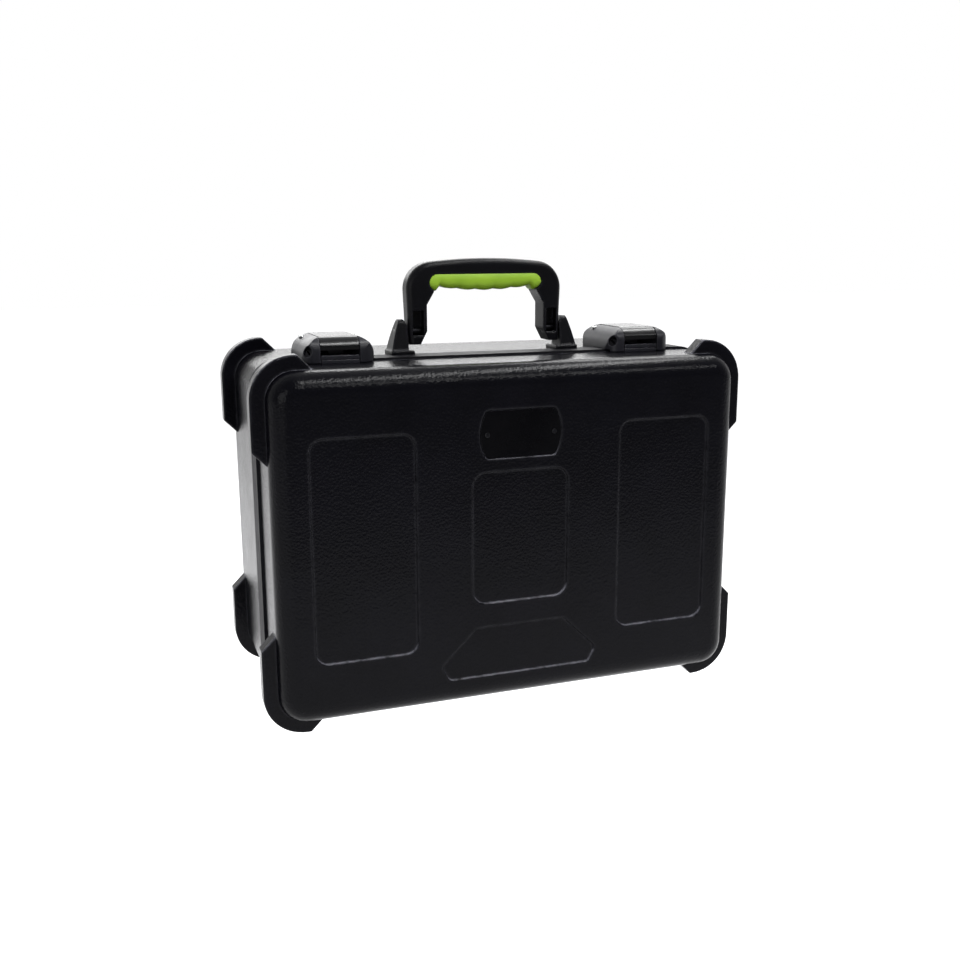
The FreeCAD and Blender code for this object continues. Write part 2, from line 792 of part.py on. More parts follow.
def latch_claw():
    """Claw that hangs on the lever and comes down on the keeper's lip."""
    half = lever_width / 2 - claw_side_gap
    top = top_z + claw_top_height
    foot = top_z + keeper_lip_height + claw_foot_gap
    plate = box(-half, half, latch_front_y, latch_front_y + claw_plate, foot, top)
    arm = claw_arm_half
    eye_y = (claw_pin_y - claw_eye_radius, claw_pin_y + claw_eye_radius)
    web = box(-arm, arm, latch_front_y, eye_y[1], top - claw_web, top)
    post = box(-arm, arm, *eye_y, top - claw_web, claw_pin_z)
    claw = plate.fuse([web, post, claw_rod(claw_eye_radius, arm)]).removeSplitter()
    return claw.cut(claw_rod(claw_pin_radius + running_gap, arm + overrun))


def lever_pin():
    """Pin across the slot that the lever turns on."""
    return lever_rod(lever_pin_radius, slot_half + lever_pin_seat)


def claw_pin():
    """Pin through the lever's lugs that the claw turns on."""
    return claw_rod(claw_pin_radius, claw_arm_half + lug_gap + lug_thick)


def lock_barrel():
    """Round lock barrel with a keyway in its face."""
    centre, out = barrel_frame()
    face = centre.sub(out * barrel_recess)
    body = rod(barrel_radius, face.sub(out * barrel_length), face)
    side = out.cross(V(0, 0, 1)).normalize()
    lean = (side + side.cross(out)).normalize()
    across = out.cross(lean).normalize()
    run = keyway_length / 2 - keyway_width / 2
    ends = [face.add(lean * run), face.sub(lean * run)]
    slots = [rod(keyway_width / 2, end.sub(out * keyway_depth), end.add(out * overrun)) for end in ends]
    near = across * (keyway_width / 2)
    corners = [ends[0].add(near), ends[0].sub(near), ends[1].sub(near), ends[1].add(near)]
    flat = prism([tuple(p) for p in corners], out * -keyway_depth, out * (keyway_depth + overrun))
    return body.cut(slots + [flat])


def latch_keeper():
    """Plate on the lid with an upturned lip for the claw."""
    half = lever_width / 2 - claw_side_gap
    y0 = latch_front_y
    plate = box(-half, half, y0, gap_y, top_z, top_z + keeper_plate)
    lip = box(-half, half, y0, y0 + keeper_lip, top_z, top_z + keeper_lip_height)
    return plate.fuse(lip).removeSplitter()


def backing_plate(half, middle_y, width):
    """Steel strip under the top wall."""
    top = top_z - wall
    return box(-half, half, middle_y - width / 2, middle_y + width / 2, top - backing_thick, top)


def arc(a, b, c):
    """Arc edge through three points."""
    return Part.Arc(V(*a), V(*b), V(*c)).toShape()


def line(a, b):
    """Straight edge between two points."""
    return Part.LineSegment(V(*a), V(*b)).toShape()


def handle_blank(y0, y1):
    """Handle's outer form seen from the front: crowned bar, rounded shoulders and leaning arms."""
    lean = math.radians(handle_lean)
    turn = handle_shoulder_radius
    side_z = handle_shoulder_z - turn * math.sin(lean)
    reach = handle_half + (side_z - arm_bottom_z) * math.tan(lean) - turn * math.cos(lean)
    rise = turn + handle_crown
    crown_radius = (reach ** 2 + rise ** 2 - turn ** 2) / (2 * handle_crown)
    start = math.asin(reach / (crown_radius - turn))
    crown = (reach + turn * math.sin(start), y0, handle_shoulder_z + turn * math.cos(start))
    middle = (start + lean + math.pi / 2) / 2
    bend = (reach + turn * math.sin(middle), y0, handle_shoulder_z + turn * math.cos(middle))
    shoulder = (reach + turn * math.cos(lean), y0, side_z)
    foot = (handle_half, y0, arm_bottom_z)
    far_crown, far_bend, far_shoulder, far_foot = [(-x, y, z) for x, y, z in (crown, bend, shoulder, foot)]
    edges = [arc(far_crown, (0, y0, handle_top_z), crown), arc(crown, bend, shoulder), line(shoulder, foot),
             line(foot, far_foot), line(far_foot, far_shoulder), arc(far_shoulder, far_bend, far_crown)]
    return Part.Face(Part.Wire(edges)).extrude(V(0, y1 - y0, 0))


def hand_opening(y0, y1):
    """Opening under the grip, between the handle's arms."""
    inner = handle_half - arm_width
    slope = inner - shoulder_slope_width
    slope_z = grip_low_z - shoulder_under_grip
    right = [(inner + arm_cut_width, arm_bottom_z - overrun), (inner + arm_cut_width, arm_bottom_z),
             (inner, arm_bottom_z + arm_cut_height), (inner, slope_z - shoulder_slope_height),
             (slope, slope_z), (slope, core_low_z)]
    left = [(-x, z) for x, z in reversed(right)]
    return prism([(x, 0, z) for x, z in right + left], V(0, y0, 0), V(0, y1 - y0, 0))


def grip_blank(y0, y1):
    """Grip seen from the front: rounded ends that hook down and a row of finger bumps."""
    bumpy = grip_half - grip_plain_end
    bumps = round(2 * bumpy / grip_bump_pitch)
    step = 2 * bumpy / bumps
    hook = grip_half - grip_hook
    arch_z = grip_low_z + grip_arch
    radius = grip_height / 2
    mid = grip_low_z + radius
    straight = grip_half - radius
    edges = [line((-straight, y0, grip_top_z), (straight, y0, grip_top_z)),
             arc((straight, y0, grip_top_z), (grip_half, y0, mid), (hook, y0, grip_low_z)),
             line((hook, y0, grip_low_z), (bumpy, y0, arch_z))]
    for i in range(bumps):
        x0 = bumpy - i * step
        x1 = x0 - step
        z0, z1 = [arch_z - grip_sag * (1 - (x / bumpy) ** 2) for x in (x0, x1)]
        low = (x0 / 2 + x1 / 2, y0, z0 / 2 + z1 / 2 - grip_scallop_depth)
        edges.append(arc((x0, y0, z0), low, (x1, y0, z1)))
    edges.append(line((-bumpy, y0, arch_z), (-hook, y0, grip_low_z)))
    edges.append(arc((-hook, y0, grip_low_z), (-grip_half, y0, mid), (-straight, y0, grip_top_z)))
    return Part.Face(Part.Wire(edges)).extrude(V(0, y1 - y0, 0))


def grip_core():
    """Rib of the handle that the grip is moulded over."""
    half = grip_half - core_inset
    thick = core_thick / 2
    return box(-half, half, handle_y - thick, handle_y + thick, core_low_z, grip_top_z)


def handle_pin(side):
    """Steel pin that joins one arm to its tower."""
    near = side * (handle_half - arm_width + handle_pin_wall)
    far = side * (tower_near + handle_pin_in_tower)
    return rod(handle_pin_radius, V(near, handle_y, handle_pivot_z), V(far, handle_y, handle_pivot_z))


def handle_frame():
    """Moulded handle with a rib inside the grip, pockets in the arms and pivot bores."""
    y0 = handle_y - handle_thick / 2
    y1 = handle_y + handle_thick / 2
    blank = handle_blank(y0, y1)
    outer = [e for y in (y0, y1) for e in edges_at_y(blank, y) if e.CenterOfMass.z > handle_pivot_z]
    blank = blank.makeFillet(handle_round, outer)
    opened = blank.cut([hand_opening(y0 - overrun, y1 + overrun), grip_blank(y0 - overrun, y1 + overrun)])
    frame = opened.fuse(grip_core()).removeSplitter()
    low = handle_pivot_z - arm_pocket_drop
    half = arm_pocket_width / 2
    pocket_y = (y0 - overrun, y0 + arm_pocket_depth)
    for side in (-1, 1):
        x = side * (handle_half - arm_width / 2)
        pocket = box(x - half, x + half, *pocket_y, low, low + arm_pocket_height)
        far = side * (handle_half + overrun)
        near = side * (handle_half - arm_width + handle_pin_wall)
        radius = handle_pin_radius + running_gap
        bore = rod(radius, V(near, handle_y, handle_pivot_z), V(far, handle_y, handle_pivot_z))
        frame = frame.cut([pocket, bore])
    return frame


def handle_grip():
    """Soft grip round the rib, rounded underneath, slightly proud of the handle."""
    half = handle_thick / 2 + grip_proud
    y0 = handle_y - half
    y1 = handle_y + half
    blank = grip_blank(y0, y1)
    low = grip_low_z - grip_scallop_depth
    wide = grip_half + overrun
    tube = box(-wide, wide, y0, y1, low, grip_top_z + overrun)
    under = [e for e in edges_along(tube, V(1, 0, 0)) if e.CenterOfMass.z < low + wall / 1000]
    tube = tube.makeFillet(grip_under_round, under)
    return blank.common(tube).cut(grip_core())


def handle_tower(side):
    """Bracket beside one arm of the handle, with a foot that runs under the arm."""
    top_x = tower_near + tower_top_width
    waist_x = tower_near + tower_waist_width
    waist_z = top_z + tower_waist_share * (tower_top_z - top_z)
    nose_x = tower_near + tower_nose_width
    nose_z = tower_top_z - tower_nose_height
    outline = [line((tower_near, 0, top_z), (tower_near, 0, nose_z)),
               line((tower_near, 0, nose_z), (nose_x, 0, tower_top_z)),
               line((nose_x, 0, tower_top_z), (top_x, 0, tower_top_z)),
               arc((top_x, 0, tower_top_z), (waist_x, 0, waist_z), (tower_foot_half, 0, top_z)),
               line((tower_foot_half, 0, top_z), (tower_near, 0, top_z))]
    face = Part.Face(Part.Wire(outline))
    low_y = handle_y - tower_depth / 2
    high_y = handle_y + tower_depth / 2
    face.translate(V(0, low_y, 0))
    post = face.extrude(V(0, tower_depth, 0))
    narrow = [(0, low_y, top_z), (0, high_y, top_z), (0, handle_y + tower_top_depth / 2, tower_top_z),
              (0, handle_y - tower_top_depth / 2, tower_top_z)]
    taper = prism(narrow, V(0, 0, 0), V(tower_foot_half + overrun, 0, 0))
    crest = [e for e in edges_along(taper, V(1, 0, 0)) if e.CenterOfMass.z > handle_pivot_z]
    taper = taper.makeFillet(tower_round, crest)
    foot = box(tower_near - foot_inside, tower_foot_half, low_y, high_y, top_z, band_top_z + foot_thick)
    inner = [e for e in edges_along(foot, V(0, 1, 0))
             if e.CenterOfMass.x < tower_near and e.CenterOfMass.z > band_top_z]
    foot = foot.makeFillet(foot_round, inner)
    tower = post.common(taper).fuse(foot).removeSplitter()
    wide = 2 * tower_foot_half
    tower = tower.cut(box(-wide, wide, base_y - overrun, band_rear_y, top_z - overrun, band_top_z))
    tower = tower.cut(handle_pin(1))
    if side < 0:
        tower = tower.mirror(V(0, 0, 0), V(1, 0, 0))
    places = screw_places(0) + screw_places(1)
    z0 = top_z - overrun
    z1 = top_z + screw_bite
    return tower.cut([rod(screw_radius, V(x, y, z0), V(x, y, z1)) for x, y in places])


def handle_screws():
    """Screws from inside the case up into the towers."""
    group = []
    seat = top_z - wall - backing_thick
    for x, y in screw_places(0) + screw_places(1):
        shank = rod(screw_radius, V(x, y, seat), V(x, y, top_z + screw_bite))
        head = rod(screw_head_radius, V(x, y, seat - screw_head), V(x, y, seat))
        group.append(shank.fuse(head).removeSplitter())
    return Part.makeCompound(group)


def latch_rivets():
    """Rivets of both latches, from the latch floor to the inside."""
    rim = top_z - wall - flange_thick
    strip = top_z - wall - backing_thick
    front = [rivet(x, y, floor_top_z, rim) for x, y in latch_front_places()]
    rear = [rivet(x, y, floor_top_z, strip) for x, y in latch_rear_places()]
    return Part.makeCompound(front + rear)


def keeper_rivets():
    """Rivets of both keepers, through the lid's top and its rim."""
    inner = top_z - wall - 2 * flange_thick
    return Part.makeCompound([rivet(x, y, top_z + keeper_plate, inner) for x, y in keeper_rivet_places()])


def placed(shape, x):
    """Copy of a shape moved along X."""
    copy = shape.copy()
    copy.translate(V(x, 0, 0))
    return copy


os.makedirs("parts", exist_ok=True)

# Case body
save("base_shell", base_shell())
save("base_rim", base_rim())
save("lid_shell", lid_shell())
save("lid_rim", lid_rim())
save("rim_gasket", rim_gasket())
save("nameplate", nameplate())
save("nameplate_rivets", nameplate_rivets())

# Foam
foam_half = shell_width / 2 - wall - foam_gap
columns, pocket_width = foam_columns()
store_x = columns[-1] + pocket_width + store_wall
save("foam_rail_top", foam_rail(1))
save("foam_rail_bottom", foam_rail(-1))
save("foam_side_left", foam_upright(-foam_half, -foam_half + left_foam))
save("foam_store_wall", foam_upright(store_x - store_wall, store_x))
save("foam_side_right", foam_upright(store_x + store_width, foam_half))
save("foam_strips", foam_strips())
save("foam_blocks", foam_blocks())
save("foam_floor", foam_floor())
save("lid_foam", lid_foam())

# Handle
save("handle_frame", handle_frame())
save("handle_grip", handle_grip())
save("handle_screws", handle_screws())
plate_width = 2 * (handle_y - flange_rear_y - backing_gap)
handle_plate = backing_plate(tower_foot_half + plate_margin, handle_y, plate_width)
save("handle_backing_plate", handle_plate.cut(holes(screw_places(0) + screw_places(1), screw_radius)))

# Left and right pieces of the handle, hinges and latches
housing = latch_housing()
keeper = latch_keeper()
for side, word in ((-1, "left"), (1, "right")):
    save("handle_tower_" + word, handle_tower(side))
    save("handle_pin_" + word, handle_pin(side))
    save("hinge_base_leaf_" + word, hinge_leaf_plate(side * hinge_offset, 1, 0))
    save("hinge_lid_leaf_" + word, hinge_leaf_plate(side * hinge_offset, -1, 1))
    save("hinge_pin_" + word, hinge_pin(side * hinge_offset))
    x = side * latch_offset
    riveted = placed(housing, x).cut(holes(latch_front_places() + latch_rear_places(), rivet_radius))
    save("latch_housing_" + word, riveted)
    save("latch_lever_" + word, placed(latch_lever(), x))
    save("latch_claw_" + word, placed(latch_claw(), x))
    save("latch_lever_pin_" + word, placed(lever_pin(), x))
    save("latch_claw_pin_" + word, placed(claw_pin(), x))
    save("lock_barrel_" + word, placed(lock_barrel(), x))
    strip = placed(backing_plate(backing_half, rear_rivet_y, backing_width), x)
    save("latch_backing_plate_" + word, strip.cut(holes(latch_rear_places(), rivet_radius)))
    save("latch_keeper_" + word, placed(keeper, x).cut(holes(keeper_rivet_places(), rivet_radius)))

save("hinge_base_rivets", hinge_rivets(base_y + hinge_rivet_inset, wall + flange_thick))
save("hinge_lid_rivets", hinge_rivets(gap_y - hinge_rivet_inset, wall + 2 * flange_thick))
save("latch_rivets", latch_rivets())
save("keeper_rivets", keeper_rivets())
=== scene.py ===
# %% [markdown]
# # A moulded microphone case, dressed in Blender
# The case stands upright on its corner guards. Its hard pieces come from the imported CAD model, which
# gives every piece its exact place and shape. Blender adds what a CAD model can't say: the grain of the
# moulding, the sheen of the latches, the soft rubber of the grip and the open foam inside.
# This lesson goes piece by piece. All lengths are metres, and the sizes below are written in
# millimetres times MM so that they read as they would on a drawing.

# %% Load the frame
import math

import bmesh
import bpy
from mathutils import Matrix, Vector


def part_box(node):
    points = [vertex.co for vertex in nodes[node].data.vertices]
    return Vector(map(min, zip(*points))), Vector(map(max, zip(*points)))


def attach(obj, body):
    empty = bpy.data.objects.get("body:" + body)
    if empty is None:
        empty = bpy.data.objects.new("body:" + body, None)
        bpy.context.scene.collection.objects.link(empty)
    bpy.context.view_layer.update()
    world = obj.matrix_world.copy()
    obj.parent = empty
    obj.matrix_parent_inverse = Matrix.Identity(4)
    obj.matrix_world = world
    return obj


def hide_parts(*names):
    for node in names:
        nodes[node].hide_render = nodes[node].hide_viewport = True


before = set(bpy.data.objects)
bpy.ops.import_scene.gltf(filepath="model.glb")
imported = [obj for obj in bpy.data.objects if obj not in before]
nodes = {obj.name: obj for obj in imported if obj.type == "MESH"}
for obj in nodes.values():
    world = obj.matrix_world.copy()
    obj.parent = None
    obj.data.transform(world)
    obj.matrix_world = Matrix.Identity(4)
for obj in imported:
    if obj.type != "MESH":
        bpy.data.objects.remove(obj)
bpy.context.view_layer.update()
MM = 0.001

# %% [markdown]
# ## The camera
# The photograph was taken from the left and a little above. Solving its perspective from the corners of
# the case gives the camera's place, the direction that it looks in and its lens. Writing the rotation as
# three plain axes (right, up and back) keeps the sums visible, where a Track To constraint would hide the
# slight roll that a hand-held picture has.

# %% Camera
camera_place = Vector((-0.3332, -0.9364, 0.3991))
camera_azimuth = math.radians(-19.797)
camera_elevation = math.radians(12.159)
camera_roll = math.radians(-0.243)
camera_lens = 40.116

look = Vector((-math.sin(camera_azimuth) * math.cos(camera_elevation),
               math.cos(camera_azimuth) * math.cos(camera_elevation),
               -math.sin(camera_elevation)))
level_right = look.cross(Vector((0, 0, 1))).normalized()
level_up = level_right.cross(look)
right = level_right * math.cos(camera_roll) + level_up * math.sin(camera_roll)
up = level_up * math.cos(camera_roll) - level_right * math.sin(camera_roll)

camera_data = bpy.data.cameras.new("photo_camera")
camera_data.lens = camera_lens
camera_data.sensor_width = 36.0
camera_data.clip_start = 0.02
camera_data.clip_end = 60.0
camera = bpy.data.objects.new("photo_camera", camera_data)
turn = Matrix((right, up, -look)).transposed()
camera.matrix_world = Matrix.Translation(camera_place) @ turn.to_4x4()
bpy.context.scene.collection.objects.link(camera)
bpy.context.scene.camera = camera
print("camera looks along", [round(v, 3) for v in look])

# %% [markdown]
# ## Two small helpers
# Colours are picked as sRGB hex values, as on a screen, but shaders work with linear light. One function
# turns the first into the second. A second function adds a node, sets it up and joins its sockets, so
# that each material below reads as a short list of what feeds what.

# %% Colour and node helpers


def linear(hex_text):
    """Linear RGBA for an sRGB hex colour."""
    parts = [int(hex_text[i:i + 2], 16) / 255 for i in (0, 2, 4)]
    return (*[p / 12.92 if p <= 0.04045 else ((p + 0.055) / 1.055) ** 2.4 for p in parts], 1.0)


def add(tree, kind, feeds=None, **settings):
    """Add one node. feeds gives each input, by name or number, a value or the socket that feeds it."""
    node = tree.nodes.new(kind)
    for name, value in settings.items():
        setattr(node, name, value)
    for key, value in (feeds or {}).items():
        if isinstance(value, bpy.types.NodeSocket):
            tree.links.new(value, node.inputs[key])
        else:
            node.inputs[key].default_value = value
    return node


print("mid grey 808080 is", round(linear("808080")[0], 4), "in linear light")

# %% [markdown]
# ## Rubbed edges and painted highlights
# A real surface is never one flat colour. Its edges are rubbed first, so a worn edge says more about a
# piece's size and use than its faces do. The function below finds the edges by comparing the true normal
# with the one that the Bevel node gives: the two differ only near an edge. A noise breaks the wear into
# patches.
# The shells use the same function for something that is not wear. In the photograph each of their lips
# that faces up catches a thin line of light. The plastic below mirrors too weakly to draw that line, so
# these lips get the light tone instead: lip_width marks the whole of a narrow lip, and side_share keeps
# most of the tone off the edges that don't face up. A painted line stays where it is when the lamps move,
# and a real highlight would not, so this is a stand-in to use sparingly.

# %% Rubbed edges and painted highlights
edge_tone_patch = 9 * MM
crisp_edge, narrow_lip = (0.995, 0.9), (0.97, 0.85)


def wear_and_highlight_edges(tree, place, round_normal, share, side_share, lip_width):
    """Edge tone per point: wear near edges, in patches, and a painted highlight where lips face up."""
    near_normal, (least, most) = round_normal, crisp_edge
    if lip_width:
        near_normal = add(tree, "ShaderNodeBevel", {"Radius": lip_width}, samples=4)
        least, most = narrow_lip
    true_normal = add(tree, "ShaderNodeNewGeometry")
    match = add(tree, "ShaderNodeVectorMath", {0: true_normal.outputs["Normal"],
                                               1: near_normal.outputs["Normal"]}, operation="DOT_PRODUCT")
    edge = add(tree, "ShaderNodeMapRange", {"Value": match.outputs["Value"], "From Min": least,
                                            "From Max": most})
    patchy = add(tree, "ShaderNodeTexNoise", {"Vector": place.outputs["Object"], "Scale": 1 / edge_tone_patch,
                                              "Detail": 5.0, "Roughness": 0.7})
    patches = add(tree, "ShaderNodeMapRange", {"Value": patchy.outputs["Fac"], "From Min": 0.3,
                                               "From Max": 0.55, "To Max": share})
    # This edge-and-patch mask is rubbed wear, and on the shells it also carries their painted lip
    # highlight.
    rubbed = add(tree, "ShaderNodeMath", {0: edge.outputs["Result"], 1: patches.outputs["Result"]},
                 operation="MULTIPLY")
    # A low side_share keeps the tone on lips that face up, where it is a painted highlight.
    facing = add(tree, "ShaderNodeSeparateXYZ", {0: place.outputs["Normal"]})
    upward = add(tree, "ShaderNodeMapRange", {"Value": facing.outputs["Z"], "From Min": 0.1,
                                              "From Max": 0.6, "To Min": side_share, "To Max": 1.0})
    wear_and_highlight_mask = add(tree, "ShaderNodeMath", {0: rubbed.outputs["Value"], 1: upward.outputs["Result"]},
               operation="MULTIPLY")
    return wear_and_highlight_mask.outputs["Value"]


print("edges are rubbed in patches of", round(edge_tone_patch / MM), "mm")

# %% [markdown]
# ## Grain in relief
# The tool that moulds a piece leaves its own skin on it. A pebbled skin is a field of small round cells,
# for which the smooth Voronoi texture is made. A finer skin is a plain noise. Either is laid on the
# Bevel node's normal, so each moulded edge also turns softly and catches a thin line of light.

# %% Grain


def grain_relief(tree, along, round_normal, size, depth, pebble):
    """Bump node for the moulded grain: round pebbles, or a fine noise."""
    if pebble:
        cells = add(tree, "ShaderNodeTexVoronoi", {"Vector": along.outputs["Vector"], "Scale": 1 / size,
                                                   "Smoothness": 0.6, "Randomness": 1.0},
                    feature="SMOOTH_F1")
        height = cells.outputs["Distance"]
    else:
        fine = add(tree, "ShaderNodeTexNoise", {"Vector": along.outputs["Vector"], "Scale": 1 / size,
                                                "Detail": 3.0, "Roughness": 0.6})
        height = fine.outputs["Fac"]
    return add(tree, "ShaderNodeBump", {"Height": height, "Strength": 1.0, "Distance": depth,
                                        "Normal": round_normal.outputs["Normal"]})


print("grain ready")

# %% [markdown]
# ## What every finish shares
# The tone of a real piece drifts a little from place to place, and its gloss varies where hands have
# been. The function below lays both, with the rubbed edges, the painted highlight on upward lips and the
# grain, on one Principled shader. Its patterns read Object coordinates, so they stay on the piece and
# have real sizes: a scale of 1 / size gives one cell for each size in metres.

# %% The shared finish
gloss_patch = 28 * MM


def finish(name, tone, drift_tone, drift_size, rough_low, rough_high, grain_size, grain_depth,
           wear_and_highlight_tone, rubbed_width, wear_and_highlight_share, specular=0.5, metallic=0.0, stretch=(1, 1, 1),
           pebble=False, sheen=0.0, side_share=1.0, lip_width=0.0):
    """Material with drifting tone and gloss, a grain in relief, and rubbed edges that can carry a painted
    highlight.
    """
    material = bpy.data.materials.new(name)
    material.use_nodes = True
    tree = material.node_tree
    tree.nodes.clear()
    place = add(tree, "ShaderNodeTexCoord")
    along = add(tree, "ShaderNodeMapping", {"Vector": place.outputs["Object"], "Scale": stretch})
    drift = add(tree, "ShaderNodeTexNoise", {"Vector": place.outputs["Object"], "Scale": 1 / drift_size,
                                             "Detail": 4.0, "Roughness": 0.6})
    spread = add(tree, "ShaderNodeMapRange", {"Value": drift.outputs["Fac"], "From Min": 0.35,
                                              "From Max": 0.65})
    body = add(tree, "ShaderNodeMix", {0: spread.outputs["Result"], 6: linear(tone), 7: linear(drift_tone)},
               data_type="RGBA")
    round_normal = add(tree, "ShaderNodeBevel", {"Radius": rubbed_width}, samples=4)
    wear_and_highlight_mask = wear_and_highlight_edges(tree, place, round_normal, wear_and_highlight_share, side_share, lip_width)
    # The edge tone is rubbed wear, and on the shells it is mostly a painted highlight on upward lips.
    colour = add(tree, "ShaderNodeMix", {0: wear_and_highlight_mask, 6: body.outputs[2], 7: linear(wear_and_highlight_tone)},
                 data_type="RGBA")
    relief = grain_relief(tree, along, round_normal, grain_size, grain_depth, pebble)
    gloss_noise = add(tree, "ShaderNodeTexNoise", {"Vector": along.outputs["Vector"],
                                                   "Scale": 1 / gloss_patch, "Detail": 6.0,
                                                   "Roughness": 0.65})
    gloss = add(tree, "ShaderNodeMapRange", {"Value": gloss_noise.outputs["Fac"], "From Min": 0.3,
                                             "From Max": 0.7, "To Min": rough_low, "To Max": rough_high})
    shader = add(tree, "ShaderNodeBsdfPrincipled", {
        "Base Color": colour.outputs[2], "Roughness": gloss.outputs["Result"], "Metallic": metallic,
        "Normal": relief.outputs["Normal"], "Sheen Weight": sheen, "Sheen Roughness": 0.5})
    if not metallic:
        shader.inputs["Specular IOR Level"].default_value = specular
    add(tree, "ShaderNodeOutputMaterial", {"Surface": shader.outputs["BSDF"]})
    return material


print("shared finish ready, gloss in patches of", round(gloss_patch / MM), "mm")

# %% [markdown]
# ## The case's own plastics
# The two shells are high-density polyethylene, moulded in a tool with a pebbled surface. Real pebbles are
# about a millimetre across, a pixel or two here, so they are drawn at two millimetres, as coarse as they
# need to be to show. They hide scratches, and they break each highlight into sparkles, which is what the
# eye reads as a tough case. The handle and latches are glass-filled nylon with a finer grain, and the
# levers' tool is polished. The nameplate is gloss ABS.
# The specular level of each is turned down from the usual 0.5 until its faces are as dark as in the
# photograph. The mirror part is then weak face on, and still strong at a glancing angle.

# %% Plastics
# pebbled: black face on, sparkling along a rounding, pale at a glancing angle, with a painted highlight on
# upward lips
polyethylene = finish("polyethylene_pebble_moulded", "07070b", "0b0b10", 60 * MM, 0.18, 0.24,
                      2.0 * MM, 0.16 * MM, "8c8c96", 1.3 * MM, 1.0, specular=0.08, pebble=True,
                      side_share=0.07, lip_width=4.0 * MM)
# fine grain: a soft and dim band of light along the handle
nylon_black = finish("nylon_black_moulded", "07070a", "0b0b0f", 30 * MM, 0.26, 0.36,
                     0.9 * MM, 0.02 * MM, "2c2c32", 3.0 * MM, 0.6, specular=0.12)
# a shade lighter than the shells, so that the latch housings stand off them
nylon_grey = finish("nylon_grey_moulded", "1d1d22", "25252b", 24 * MM, 0.28, 0.38,
                    0.9 * MM, 0.02 * MM, "50505a", 1.2 * MM, 0.5, specular=0.22)
# polished: the curve of the lever runs from near white to black
nylon_lever = finish("nylon_lever_polished", "070709", "0b0b0e", 24 * MM, 0.2, 0.28,
                     0.9 * MM, 0.006 * MM, "34343a", 0.8 * MM, 0.4, specular=0.3)
# smooth and black: a flat plate with a thin light outline
abs_gloss = finish("abs_gloss_moulded", "040406", "070709", 20 * MM, 0.18, 0.26,
                   2.0 * MM, 0.008 * MM, "34343a", 0.6 * MM, 0.9, specular=0.06)
for word, material in (("case_plastic", polyethylene), ("handle_plastic", nylon_black),
                       ("latch_plastic", nylon_grey), ("lever", nylon_lever), ("plate_gloss", abs_gloss)):
    print(word, "->", material.name, len(material.node_tree.nodes), "nodes")

# %% [markdown]
# ## Metals
# The rim round the mouth of the base is an aluminium extrusion with a black powder coat, a little orange
# peel and all. The liner in the lid is the same extrusion left bare, with the fine lines of the die along
# it. Pins, rivets and screws are zinc-plated steel, hinge leaves are black zinc, and the lock barrels are
# blackened nickel. A metal keeps Blender's own IOR, and its colour does the work.

# %% Metals
# powder coat: matt black with a faint orange peel
rim_coat = finish("aluminium_black_powder_coat", "111115", "17171b", 40 * MM, 0.5, 0.6,
                  1.1 * MM, 0.03 * MM, "5a5a60", 0.5 * MM, 0.35, specular=0.12)
# extruded and bare: silver, with fine lines along its two long runs
bare_aluminium = finish("aluminium_mill_finish", "b9babd", "a9aaae", 50 * MM, 0.28, 0.4,
                        0.4 * MM, 0.01 * MM, "d5d6d8", 0.4 * MM, 0.5, metallic=1.0, stretch=(0.05, 1, 1))
# zinc plate: bright, with a faintly warm drift
zinc_steel = finish("steel_zinc_plated", "b4b6b8", "9b9c98", 12 * MM, 0.24, 0.38,
                    0.5 * MM, 0.008 * MM, "dcdde0", 0.3 * MM, 0.5, metallic=1.0)
# black zinc: dark grey metal with bright rubbed edges
black_steel = finish("steel_black_zinc", "19191b", "232326", 12 * MM, 0.3, 0.45,
                     0.5 * MM, 0.01 * MM, "8b8b8f", 0.4 * MM, 0.6, metallic=1.0)
# blackened nickel: smooth and dark, with a bright edge round the keyway
lock_nickel = finish("lock_nickel_blackened", "1d1d20", "28282b", 8 * MM, 0.22, 0.34,
                     0.3 * MM, 0.006 * MM, "9a9a9e", 0.3 * MM, 0.6, metallic=1.0)
print("metals:", [m.name for m in (rim_coat, bare_aluminium, zinc_steel, black_steel, lock_nickel)])

# %% [markdown]
# ## Rubber and foam
# The grip is a soft-touch rubber moulded over the handle, lime green and nearly matt, with a faint bloom
# like the skin of a fruit: that is what the sheen is for. The foam is open-cell polyurethane. Its pores
# are too fine to draw one by one at this distance, so the cells are drawn at about two millimetres, as
# coarse as they need to be to show.

# %% Soft finishes
# soft-touch rubber: nearly matt lime with a light bloom
grip_rubber = finish("rubber_lime_soft_touch", "8cb22a", "82a824", 25 * MM, 0.42, 0.52,
                     0.5 * MM, 0.03 * MM, "9dc03c", 0.8 * MM, 0.3, specular=0.3, sheen=0.08)
# open cells: no gloss at all, and a rough dark skin
open_foam = finish("polyurethane_foam_open_cell", "26262a", "303034", 18 * MM, 0.88, 0.97,
                   2.0 * MM, 0.7 * MM, "3c3c41", 1.5 * MM, 0.5, specular=0.2, pebble=True, sheen=0.2)
# extruded rubber: a dull dark bead
seal_rubber = finish("epdm_seal_extruded", "0e0e10", "151517", 20 * MM, 0.5, 0.6,
                     0.5 * MM, 0.02 * MM, "2c2c2f", 0.4 * MM, 0.3, specular=0.35)
print("soft finishes:", [m.name for m in (grip_rubber, open_foam, seal_rubber)])

# %% [markdown]
# ## Dressing the pieces that keep their CAD shape
# The record names a material slot for every piece. Walking through it and swapping each slot's plain
# material for the finished one dresses all the hard pieces at once, and leaves their meshes alone. The
# two levers are then polished: fingers slide on them, so their tool has no grain. The steel that shows
# outside, in the handle's pockets and on the nameplate, is blackened.

